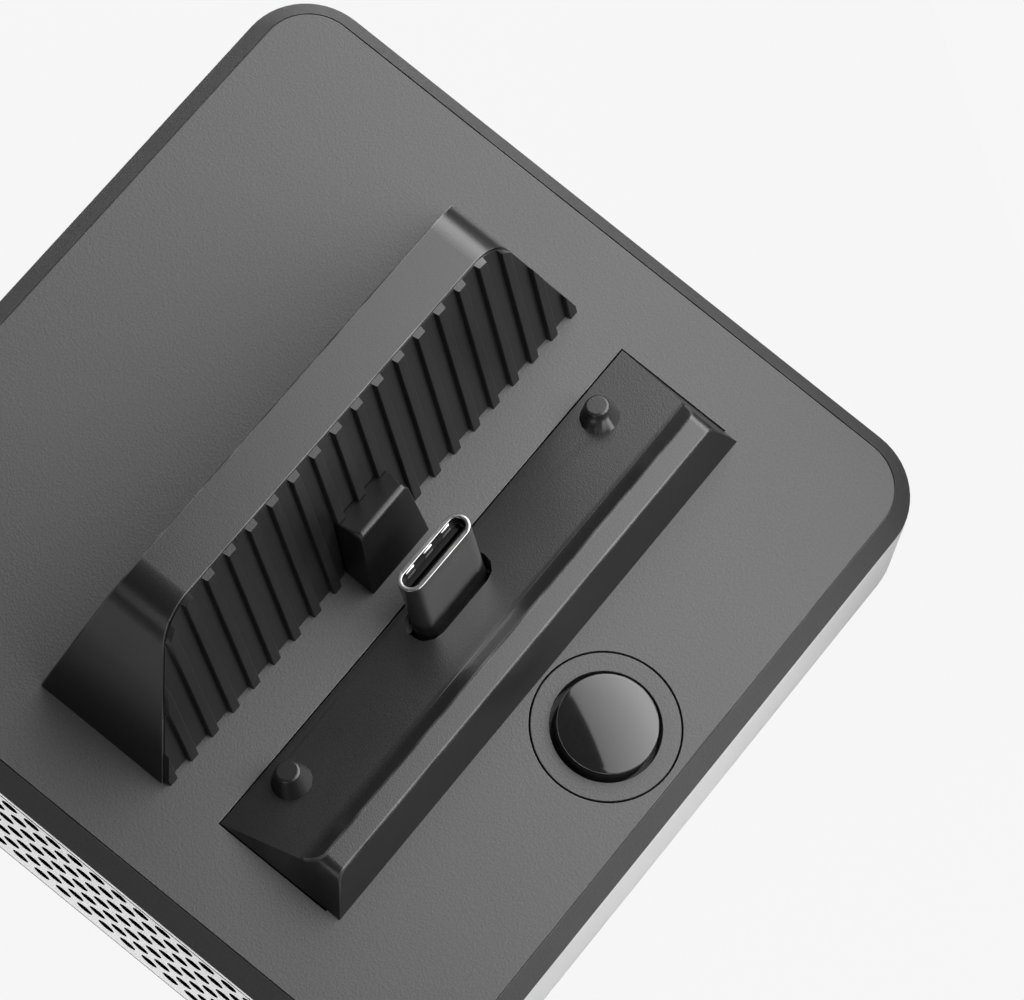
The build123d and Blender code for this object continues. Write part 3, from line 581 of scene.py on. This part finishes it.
# %% Panel tree
TREE_WELD, HOLE_SIDES = 1e-6, 20
panel_tree, given, out = node_tree("perforated_panel", {
    "Length": "Float", "Height": "Float", "Corner": "Float", "Thickness": "Float",
    "Hole": "Float", "Oval": "Float", "Raise": "Float", "Pitch": "Float", "Row": "Float",
    "Columns": "Int", "Rows": "Int", "Material": "Material",
})
add, work = partial(put, panel_tree), partial(calc, panel_tree)
border = add("GeometryNodeCurvePrimitiveQuadrilateral", {
    "Width": given["Length"], "Height": given["Height"],
}, mode="RECTANGLE")
border = add("GeometryNodeFilletCurve", {
    "Curve": border.outputs[0], "Radius": given["Corner"], "Count": 4,
}, mode="POLY")
hole = add("GeometryNodeCurvePrimitiveCircle", {
    "Radius": work("MULTIPLY", given["Hole"], 0.5), "Resolution": HOLE_SIDES,
})
squat = add("ShaderNodeCombineXYZ", {"X": 1.0, "Y": given["Oval"], "Z": 1.0})
shift = add("ShaderNodeCombineXYZ", {"Y": given["Raise"]})
outlines = [border.outputs[0]]
for fewer in (0, 1):
    columns, rows = work("SUBTRACT", given["Columns"], fewer), work("SUBTRACT", given["Rows"], fewer)
    points = add("GeometryNodeMeshGrid", {
        "Size X": work("MULTIPLY", work("SUBTRACT", columns, 1), given["Pitch"]),
        "Size Y": work("MULTIPLY", work("SUBTRACT", rows, 1), given["Row"]),
        "Vertices X": columns, "Vertices Y": rows,
    })
    points = add("GeometryNodeTransform", {
        "Geometry": points.outputs[0], "Translation": shift.outputs[0],
    })
    holes = add("GeometryNodeInstanceOnPoints", {
        "Points": points.outputs[0], "Instance": hole.outputs[0], "Scale": squat.outputs[0],
    })
    outlines.append(add("GeometryNodeRealizeInstances", {"Geometry": holes.outputs[0]}).outputs[0])
front = add("GeometryNodeFillCurve", {"Curve": joined(panel_tree, *outlines)}).outputs[0]
sink = add("ShaderNodeCombineXYZ", {"Z": work("MULTIPLY", given["Thickness"], -1)}).outputs[0]
behind = add("GeometryNodeTransform", {"Geometry": front, "Translation": sink}).outputs[0]
inner_face = add("GeometryNodeFlipFaces", {"Mesh": behind}).outputs[0]
rise = add("ShaderNodeCombineXYZ", {"Z": given["Thickness"]}).outputs[0]
thick = add("GeometryNodeExtrudeMesh", {"Mesh": behind, "Offset": rise, "Individual": False}).outputs
# The sides of the holes are marked for painted shade.
marked = add("GeometryNodeStoreNamedAttribute", {
    "Geometry": thick["Mesh"], "Name": "deep", "Value": thick["Side"],
}, data_type="FLOAT", domain="FACE")
closed = add("GeometryNodeMergeByDistance", {
    "Geometry": joined(panel_tree, marked.outputs[0], inner_face), "Distance": TREE_WELD,
})
ending(panel_tree, closed.outputs[0], given["Material"], out)

# %% Panel on the left wall
WALL_HEIGHT, WALL_FLARE = 12.1, 1.25
PANEL_TOP, PANEL_FOOT = 0.55, 0.75
wall_slope = math.hypot(WALL_HEIGHT, WALL_FLARE)
panel_height = wall_slope - PANEL_TOP - PANEL_FOOT
mesh = grown(panel_tree, "panel", {
    "Length": 40.0 * MM, "Height": panel_height * MM, "Corner": 0.6 * MM, "Thickness": 1.2 * MM,
    "Hole": 1.66 * MM, "Oval": 0.58, "Raise": 0.4 * MM, "Pitch": 2.3 * MM, "Row": 2.86 * MM,
    "Columns": 17, "Rows": 4, "Material": FINISHES["grille_silver"],
})
along = Vector((0, -1, 0))
outward = Vector((-WALL_HEIGHT, 0, WALL_FLARE)) / wall_slope
upward = outward.cross(along)
centre = Vector((cover_low.x, 0, RIM * MM)) - upward * (PANEL_TOP + panel_height / 2) * MM
mesh.transform(Matrix.Translation(centre) @ Matrix((along, upward, outward)).transposed().to_4x4())
finish_piece(mesh, "panel", "grille_silver", nodes=("left_grille",))

# %% [markdown]
# ## Backrest and guide tab
# The backrest leans back at the console's angle. Its edges are crisp but not sharp, so a thin
# radius is enough to catch a line of light. The edges round its leaning face get a smaller one,
# because the pad lies there. The guide tab between the ribs is a plain block, so its copy is
# softened all round.

# %% Backrest and tab
LEAN = math.radians(21)
SIN, COS = math.sin(LEAN), math.cos(LEAN)
REST_SOFT, FACE_SOFT, TAB_SOFT = 0.16, 0.08, 0.12
FACE_NEAR, REST_FOOT = 0.02, PLATE + 0.1
rest_low, rest_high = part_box("backrest")


def on_face(*ends):
    """True for an edge that lies in the backrest's leaning face."""
    depths = [(rest_low.y / MM - v.y) * COS + (v.z - rest_low.z / MM) * SIN for v in ends]
    return max(abs(depth) for depth in depths) < FACE_NEAR


rest = cad_copy("backrest")
soften(rest, REST_SOFT, lambda a, b: not on_face(a, b) and max(a.z, b.z) > REST_FOOT)
soften(rest, FACE_SOFT, on_face, 2)
finish_piece(mesh_of(rest, "rest"), "rest", "rest_black", nodes=("backrest",))
softened_piece("guide_tab", "tab", "tab_black", TAB_SOFT)

# %% [markdown]
# ## Ribbed pad
# A rubber pad fills the backrest's face, and upright ribs stand proud of it. Every rib has the same
# section: a trapezoid with rounded corners, swept upward. A row of them is cut by a limiting block
# to the sloping outline of the backrest, then the gap for the tab is taken out. The tree works
# flat, where the numbers are simple, and the result is leaned back.

# %% Rib tree
rib_tree, given, out = node_tree("ribbed_pad", {
    "Pitch": "Float", "Crest": "Float", "Root": "Float", "Depth": "Float", "Round": "Float",
    "Length": "Float", "Count": "Int", "Sheet": "Object", "Skin": "Object", "Tab gap": "Object",
    "Material": "Material",
})
add, work = partial(put, rib_tree), partial(calc, rib_tree)
section = add("GeometryNodeCurvePrimitiveQuadrilateral", {
    "Bottom Width": given["Root"], "Top Width": given["Crest"], "Offset": 0.0, "Height": given["Depth"],
}, mode="TRAPEZOID")
section = add("GeometryNodeFilletCurve", {
    "Curve": section.outputs[0], "Radius": given["Round"], "Count": 3,
}, mode="POLY")
foot_end = add("GeometryNodeFillCurve", {"Curve": section.outputs[0]}, mode="NGONS").outputs[0]
sweep = add("ShaderNodeCombineXYZ", {"Z": given["Length"]}).outputs[0]
swept = add("GeometryNodeExtrudeMesh", {"Mesh": foot_end, "Offset": sweep, "Individual": False})
foot_end = add("GeometryNodeFlipFaces", {"Mesh": foot_end}).outputs[0]
rib = add("GeometryNodeMergeByDistance", {
    "Geometry": joined(rib_tree, swept.outputs[0], foot_end), "Distance": TREE_WELD,
})
rib = add("GeometryNodeTransform", {"Geometry": rib.outputs[0], "Rotation": (math.radians(90), 0, 0)})
span = work("MULTIPLY", work("SUBTRACT", given["Count"], 1), given["Pitch"])
begin = add("ShaderNodeCombineXYZ", {
    "X": work("MULTIPLY", span, -0.5), "Y": work("SUBTRACT", given["Length"], MM),
})
step = add("ShaderNodeCombineXYZ", {"X": given["Pitch"]})
row = add("GeometryNodeMeshLine", {
    "Count": given["Count"], "Start Location": begin.outputs[0], "Offset": step.outputs[0],
})
ribs = add("GeometryNodeInstanceOnPoints", {"Points": row.outputs[0], "Instance": rib.outputs[0]})
ribs = add("GeometryNodeRealizeInstances", {"Geometry": ribs.outputs[0]}).outputs[0]
limited = add("GeometryNodeMeshBoolean", {"Mesh 2": ribs}, operation="INTERSECT", solver="EXACT")
rib_tree.links.new(given["Geometry"], limited.inputs["Mesh 2"])
blocks = [
    add("GeometryNodeObjectInfo", {"Object": given[label]}).outputs["Geometry"]
    for label in ("Sheet", "Skin", "Tab gap")
]
notched = []
for solid in (limited.outputs[0], *blocks[:2]):
    notch = add("GeometryNodeMeshBoolean", {
        "Mesh 1": solid, "Mesh 2": blocks[2],
    }, operation="DIFFERENCE", solver="EXACT")
    notched.append(notch.outputs[0])
ending(rib_tree, joined(rib_tree, *notched), given["Material"], out)

# %% Blocks on the backrest's face
REST_HALF = rest_high.x / MM
FACE_LENGTH = (rest_high.z - rest_low.z) / MM / COS
SLOPED_END, SHOULDER = 6.3, 3.0
END_RUN = SLOPED_END / FACE_LENGTH


def leaning_block(name, half, run, top, back_mm, front_mm, level=0, shoulder=0):
    """A block on the backrest's face, with a foot level with the plate and, if asked, a level top."""
    shape = bmesh.new()
    rows = []
    for depth in (back_mm, front_mm):
        drop = depth * math.tan(LEAN)
        high = top - level * drop
        points = [(half + run * drop, -drop), (half - run * high, high)]
        points += [(-x, y) for x, y in points[::-1]]
        rows.append([shape.verts.new((x * MM, y * MM, depth * MM)) for x, y in points])
    shape.faces.new(rows[1])
    shape.faces.new(rows[0][::-1])
    for i in range(4):
        j = (i + 1) % 4
        shape.faces.new((rows[0][i], rows[0][j], rows[1][j], rows[1][i]))
    if shoulder:
        edges = [shape.edges.get((rows[0][i], rows[1][i])) for i in (1, 2)]
        bmesh.ops.bevel(
            shape, geom=edges, offset=shoulder * MM, segments=8, profile=0.5, affect="EDGES",
        )
    return mesh_of(shape, name)


def face_half(border):
    """Half the width of the backrest's face at its foot, less a border."""
    return REST_HALF - border * math.hypot(1, END_RUN)


limit = leaning_block(
    "pad", half=face_half(0.12), run=END_RUN, top=FACE_LENGTH - 0.03,
    back_mm=0.05, front_mm=2.0, level=1, shoulder=SHOULDER,
)
blocks = {
    "Sheet": leaning_block(
        "sheet", half=face_half(0.8), run=END_RUN, top=FACE_LENGTH - 1.25,
        back_mm=-0.8, front_mm=0.02,
    ),
    "Skin": leaning_block(
        "skin", half=face_half(0.15), run=END_RUN, top=FACE_LENGTH - 0.08,
        back_mm=-0.04, front_mm=0.12, shoulder=SHOULDER,
    ),
    "Tab gap": leaning_block(
        "tab_gap", half=3.86, run=0.088, top=7.49, back_mm=-2.0, front_mm=3.0,
    ),
}
blocks = {label: new_object(block.name, block) for label, block in blocks.items()}
print("blocks for the pad:", ", ".join(blocks))

# %% Pad on the backrest
mesh = grown(rib_tree, "pad", {
    "Pitch": 2.66 * MM, "Crest": 0.9 * MM, "Root": 1.4 * MM, "Depth": 1.2 * MM, "Round": 0.1 * MM,
    "Length": 24.0 * MM, "Count": 21, "Material": FINISHES["pad_rubber"], **blocks,
}, limit)
for block in blocks.values():
    discard(block)
leaned = Matrix(((1, 0, 0), (0, SIN, COS), (0, -COS, SIN))).transposed().to_4x4()
mesh.transform(Matrix.Translation((0, rest_low.y, rest_low.z)) @ leaned)
finish_piece(mesh, "pad", "pad_rubber", nodes=("backrest_pad",))

# %% [markdown]
# ## Seat tray
# The console's lower edge drops between the tray's lip and the backrest. The two guide bumps and
# the lip's crown are handled most, so they get the softest edges, each with its own radius. Only
# the lip keeps its painted edge highlight: on the bumps it would draw a bright ring. The edge along
# the plate stays almost sharp.

# %% Seat tray
BUMP_SOFT, LIP_SOFT, TRAY_SOFT = 0.22, 0.18, 0.04
BUMP_SIDE, LIP_BACK, STANDING = 6, -14.5, PLATE + 0.2
EDGE_LOW, EDGE_HIGH, EDGE_SHARP = PLATE - 0.05, PLATE + 0.15, 35
tray = cad_copy("seat_tray")
stands, at_plate = above(STANDING), above(EDGE_LOW)
soften(tray, BUMP_SOFT, lambda a, b: stands(a, b) and abs(a.x) > BUMP_SIDE and min(a.y, b.y) > LIP_BACK)
# The bumps' bevels lose their mark, so only the lip gets the painted highlight.
mark = tray.faces.layers.float["soft_edge"]
for face in tray.faces:
    face[mark] = 0.0
soften(tray, LIP_SOFT, lambda a, b: stands(a, b) and max(a.y, b.y) < LIP_BACK)
soften(tray, TRAY_SOFT, lambda a, b: at_plate(a, b) and max(a.z, b.z) < EDGE_HIGH, 2, EDGE_SHARP)
finish_piece(mesh_of(tray, "tray"), "tray", "tray_black", nodes=("seat_tray",))

# %% [markdown]
# ## Plug
# The plug is a drawn steel tube with a rolled, polished mouth and a black lining. A curve with a
# bevel could make the tube, but not its wall and its rolled rim in one. So a section is swept round
# a slot outline: up the outer wall, over two small radii, and down the inner wall. The lining is
# swept the same way.

# %% Plug tube helpers
TRAY_BACK, PLUG_AHEAD = -7.35, 2.4


def slot_ring(shape, length, width, z, flats=14):
    """A ring of points round a slot."""
    radius = width / 2
    reach = length / 2 - radius
    turns = [math.pi * (i / flats - 0.5) for i in range(flats + 1)]
    half = [(reach + radius * math.cos(t), radius * math.sin(t)) for t in turns]
    return [shape.verts.new((x * MM, y * MM, z * MM)) for x, y in half + [(-x, -y) for x, y in half]]


def swept_tube(rings):
    """Joins each ring to the next, and the last to the first."""
    shape = bmesh.new()
    made = [slot_ring(shape, *ring) for ring in rings]
    for one, two in zip(made, made[1:] + made[:1]):
        for i in range(len(one)):
            j = (i + 1) % len(one)
            shape.faces.new((one[i], one[j], two[j], two[i]))
    bmesh.ops.recalc_face_normals(shape, faces=shape.faces)
    return shape


plug_spot = Vector((0, TRAY_BACK - PLUG_AHEAD * COS, PLATE + PLUG_AHEAD * SIN)) * MM
plug_axes = Matrix(((1, 0, 0), (0, COS, -SIN), (0, SIN, COS))).transposed().to_4x4()
plug_place = Matrix.Translation(plug_spot) @ plug_axes
print("plug stands at", [round(v / MM, 2) for v in plug_spot])

# %% Plug tube and lining
LENGTH, WIDTH, WALL, TOP, LOW = 8.25, 2.4, 0.28, 7.3, -4.2
RIM_WALL, CURL, MOUTH = 0.4, 0.05, 0.3
LINING, THROAT, THROAT_DROP = 0.6, 0.92, 0.14
TONGUE_SLOT, SLOT_TOP, SLOT_LOW = (6.5, 0.36), 6.2, 6.0
swings = [math.radians(degrees) for degrees in (0, 30, 60, 90)]


def narrowed(inset, z):
    """A ring of the plug's outline, made smaller all round."""
    return LENGTH - inset, WIDTH - inset, z


rolls = [(CURL * (1 - math.cos(swing)), CURL * (1 - math.sin(swing))) for swing in swings]
tube = [narrowed(0, LOW)]
tube += [narrowed(2 * over, TOP - down) for over, down in rolls]
tube += [narrowed(2 * (RIM_WALL - over), TOP - down) for down, over in rolls]
tube += [narrowed(2 * WALL, TOP - MOUTH), narrowed(2 * WALL, LOW)]
lining = [narrowed(LINING, LOW), narrowed(LINING, TOP - MOUTH)]
lining += [narrowed(THROAT, TOP - THROAT_DROP), narrowed(THROAT, SLOT_TOP)]
lining += [(*TONGUE_SLOT, SLOT_TOP), (*TONGUE_SLOT, SLOT_LOW)]
for name, rings, slot, nodes in (
    ("plug_tube", tube, "plug_steel", ("plug_shell",)),
    ("plug_lining", lining, "plug_black", ()),
):
    mesh = mesh_of(swept_tube(rings), name)
    mesh.transform(plug_place)
    finish_piece(mesh, name, slot, nodes=nodes, angle=60)

# %% [markdown]
# ## Springs
# Small spring bars show in the plug's mouth, three on each side. Such bars, the contacts in the
# sockets, the feet and the screws all repeat in rows, so one tree that lays a shape on a grid makes
# them all. An Array modifier would need one copy for each direction.

# %% Grid tree
grid_tree, given, out = node_tree("bars_on_a_grid", {
    "Count X": "Int", "Count Y": "Int", "Size X": "Float", "Size Y": "Float",
    "Bar": "Object", "Material": "Material",
})
grid = put(grid_tree, "GeometryNodeMeshGrid", {
    "Size X": given["Size X"], "Size Y": given["Size Y"],
    "Vertices X": given["Count X"], "Vertices Y": given["Count Y"],
})
bar = put(grid_tree, "GeometryNodeObjectInfo", {"Object": given["Bar"]}).outputs["Geometry"]
laid = put(grid_tree, "GeometryNodeInstanceOnPoints", {"Points": grid.outputs[0], "Instance": bar})
ending(grid_tree, laid.outputs[0], given["Material"], out)

# %% Springs
SPRING, SPRING_SOFT, SPRING_SPAN = (1.05, 0.14, 0.34), 0.05, 4.6


def rounded_bar(name, size, radius):
    """A bar with rounded edges, about the origin."""
    shape = bmesh.new()
    bmesh.ops.create_cube(shape, size=1.0)
    bmesh.ops.scale(shape, verts=shape.verts, vec=Vector(size) * MM)
    bmesh.ops.bevel(
        shape, geom=shape.edges[:], offset=radius * MM, segments=2, profile=0.5, affect="EDGES",
    )
    return mesh_of(shape, name)


def laid_out(name, bar_mesh, counts, sizes, slot, place=Matrix(), nodes=()):
    """A bar repeated on a grid, set in its place."""
    bar = new_object(name + "_bar", bar_mesh)
    mesh = grown(grid_tree, name, {
        "Count X": counts[0], "Count Y": counts[1], "Size X": sizes[0] * MM, "Size Y": sizes[1] * MM,
        "Bar": bar, "Material": FINISHES[slot],
    })
    discard(bar)
    mesh.transform(place)
    finish_piece(mesh, name, slot, nodes=nodes, angle=50)


for name, y, z, nodes in (
    ("far_springs", 0.73, 7.02, ("plug_springs",)),
    ("near_springs", -0.73, 6.4, ()),
):
    place = plug_place @ Matrix.Translation(Vector((0, y, z)) * MM)
    bar_mesh = rounded_bar(name, SPRING, SPRING_SOFT)
    laid_out(name, bar_mesh, (3, 1), (SPRING_SPAN, 0.0), "spring_steel", place, nodes)

# %% [markdown]
# ## Button
# The button is a shallow glossy dome in a grained ring, on a black stem that reaches down to its
# switch. A lathe suits all three: a profile is turned about the button's axis. A squashed sphere
# would be quicker, but its curve would be wrong at the rim. The dome follows the same curve as the
# solid, with a small radius where it meets the side. That radius is marked for a painted highlight.

# %% Ring


def turned(name, profile, y=0, sides=96, closed=False):
    """Turns a profile of (radius, height) points about an upright axis."""
    shape = bmesh.new()
    turns = [2 * math.pi * i / sides for i in range(sides)]
    rings = []
    for radius, height in profile:
        spots = [(radius * math.cos(t) * MM, radius * math.sin(t) * MM, height * MM) for t in turns]
        rings.append([shape.verts.new(spot) for spot in (spots if radius else [(0, 0, height * MM)])])
    for one, two in zip(rings, rings[1:] + rings[:1] * closed):
        for i in range(sides):
            j = (i + 1) % sides
            corners = [one[i % len(one)], one[j % len(one)], two[j % len(two)], two[i % len(two)]]
            unique = list(dict.fromkeys(corners))
            if len(unique) > 2:
                shape.faces.new(unique)
    bmesh.ops.recalc_face_normals(shape, faces=shape.faces)
    bmesh.ops.translate(shape, verts=shape.verts, vec=Vector((0, y, 0)) * MM)
    return mesh_of(shape, name)


BORE, RING, FLANGE, FLANGE_LOW, SOFT = 4.74, 6.33, 6.6, RIM - 0.8, 0.06
cap_low, cap_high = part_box("button_cap")
button_y = (cap_low.y + cap_high.y) / 2 / MM
profile = [(BORE, FLANGE_LOW), (FLANGE, FLANGE_LOW), (FLANGE, RIM), (RING, RIM)]
profile += [(RING, PLATE - SOFT), (RING - SOFT / 3, PLATE - SOFT / 3), (RING - SOFT, PLATE)]
profile += [(BORE + SOFT, PLATE), (BORE + SOFT / 3, PLATE - SOFT / 3), (BORE, PLATE - SOFT)]
ring = turned("ring", profile, button_y, closed=True)
finish_piece(ring, "ring", "ring_grey", nodes=("button_ring",), angle=50)

# %% Dome
CAP, DOME_EDGE, DOME_RISE, LIP = 4.29, PLATE + 0.95, 0.6, 0.13
DOME_LOW, LIP_LIFT, DOME_STEPS = DOME_EDGE - LIP - 0.2, 0.04, 16
HIGHLIGHT_LOW, HIGHLIGHT_HIGH = 0.3, 0.9
profile = [(0, DOME_LOW), (CAP, DOME_LOW)]
for degrees in (0, 20, 40, 60, 80):
    swing = math.radians(degrees)
    height = DOME_EDGE - LIP * (1 - math.sin(swing)) + LIP_LIFT
    profile.append((CAP - LIP * (1 - math.cos(swing)), height))
for i in range(1, DOME_STEPS + 1):
    share = (1 - i / DOME_STEPS) * (1 - LIP / CAP)
    profile.append((CAP * share, DOME_EDGE + DOME_RISE * (1 - share ** 2)))
dome = turned("dome", profile, button_y)
# Painted highlight: the faces of the rounded lip are marked, and the finish draws them paler.
highlight_mark = dome.attributes.new("soft_edge", "FLOAT", "FACE")
for face in dome.polygons:
    highlight_mark.data[face.index].value = 1.0 if HIGHLIGHT_LOW < face.normal.z < HIGHLIGHT_HIGH else 0.0
finish_piece(dome, "dome", "button_gloss", "button", ("button_cap",), 50)

# %% Stem
STEM, COLLAR, COLLAR_LOW, COLLAR_HIGH, STEM_TOP = 1.5, 5.14, 11.3, 12.1, DOME_EDGE - LIP - 0.1
STEM_LOW, SKIRT = cap_low.z / MM, CAP - 0.02
profile = [(0, STEM_LOW), (STEM, STEM_LOW), (STEM, COLLAR_LOW), (COLLAR, COLLAR_LOW)]
profile += [(COLLAR, COLLAR_HIGH), (SKIRT, COLLAR_HIGH), (SKIRT, STEM_TOP), (0, STEM_TOP)]
finish_piece(turned("stem", profile, button_y), "stem", "switch_black", "button", angle=50)

# %% [markdown]
# ## Feet and screws
# Four rubber feet and four screws close the underside. One of each is turned on the lathe, and the
# grid tree sets it at the four corners. The screw's head gets a cross recess, cut by two crossed
# bars: a Boolean is the plain way to do that on so small a part.

# %% Feet
FOOT = [(0, 0.08), (3.4, 0.0), (3.8, 0.12), (4.0, 0.4), (4.0, 0.9), (0, 0.9)]
FOOT_SPAN = (42.0, 40.7)
foot = turned("foot", FOOT, sides=40)
laid_out("feet", foot, (2, 2), FOOT_SPAN, "foot_rubber", nodes=("rubber_feet",))

# %% Screws
HEAD_LOW = 1.0
SCREW = [(0, HEAD_LOW), (1.95, HEAD_LOW), (2.1, 1.1), (2.2, 1.25), (2.2, 1.8)]
SCREW += [(1.2, 1.8), (1.2, 8.9), (0, 8.9)]
SCREW_SPAN, BLADE, BLADE_SOFT = (59.0, 57.7), (2.6, 0.55, 1.0), 0.08
screw = new_object("screw", turned("screw", SCREW, sides=32))
blades = []
for quarter in (0, 90):
    blade = new_object("blade", rounded_bar("blade", BLADE, BLADE_SOFT))
    turn = Matrix.Rotation(math.radians(quarter), 4, "Z")
    blade.data.transform(Matrix.Translation((0, 0, HEAD_LOW * MM)) @ turn)
    recess = screw.modifiers.new("recess", "BOOLEAN")
    recess.operation = "DIFFERENCE"
    recess.object = blade
    blades.append(blade)
bpy.context.view_layer.update()
screw = plain_mesh(screw)
for blade in blades:
    discard(blade)
laid_out("case_screws", screw, (2, 2), SCREW_SPAN, "screw_steel", nodes=("base_screws",))

# %% [markdown]
# ## Sockets
# Three sockets open in the back wall. Their shells get thin softened mouths, and gold contacts lie
# in rows on both sides of their tongues. They are rows again, so the grid tree lays them out.

# %% Sockets
MOUTH_SOFT, CONTACT_SOFT, CONTACT_BACK = 0.08, 0.03, 0.2
for node, name in (
    ("hdmi_shell", "video_socket"), ("usb_a_shell", "data_socket"), ("usb_c_shell", "power_socket"),
):
    softened_piece(node, name, "socket_steel", MOUTH_SOFT, None, 2)


def contact_rows(name, node, count, pitch, size, apart):
    """Two rows of contacts on a tongue."""
    low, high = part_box(node)
    middle = (low + high) / 2 / MM
    width, length, height = size
    spot = Vector((middle.x, high.y / MM - length / 2 - CONTACT_BACK, middle.z)) * MM
    place = Matrix.Translation(spot) @ Matrix.Rotation(math.radians(90), 4, "X")
    bar_mesh = rounded_bar(name, (width, height, length), CONTACT_SOFT)
    laid_out(name, bar_mesh, (count, 2), ((count - 1) * pitch, apart), "contact_gold", place)


contact_rows("video_contacts", "hdmi_tongue", count=10, pitch=1.0, size=(0.45, 6.0, 0.12), apart=1.0)
contact_rows("data_contacts", "usb_a_tongue", count=4, pitch=2.3, size=(1.1, 7.0, 0.12), apart=1.9)
contact_rows("power_contacts", "usb_c_tongue", count=12, pitch=0.5, size=(0.26, 3.6, 0.1), apart=0.7)

# %% [markdown]
# ## Inside parts
# The other nodes keep their CAD shape, because they are hidden or plain. Each gets the finish of
# its slot, so that whatever shows through a hole or a gap has the right tone.

# %% Inside parts
KEPT = {
    "backrest_screws": "screw_steel", "tray_screws": "screw_steel", "plug_insulator": "plug_black",
    "plug_contacts": "contact_gold", "plug_carrier": "plug_black", "plug_board": "board_green",
    "plug_board_screws": "screw_steel", "plug_flex": "flex_amber", "flex_socket": "socket_black",
    "switch_body": "switch_black", "switch_plunger": "switch_black", "main_board": "board_green",
    "board_screws": "screw_steel", "converter_chip": "chip_black", "hub_chip": "chip_black",
    "thermal_pads": "thermal_grey", "heat_plate": "heat_silver", "power_coil": "coil_dark",
    "capacitors": "capacitor_silver", "hdmi_tongue": "socket_black", "usb_a_tongue": "socket_black",
    "usb_c_tongue": "socket_black",
}
for node, slot in KEPT.items():
    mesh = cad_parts[node].data
    mesh.materials.clear()
    mesh.materials.append(FINISHES[slot])
print(len(KEPT), "nodes keep their shape")
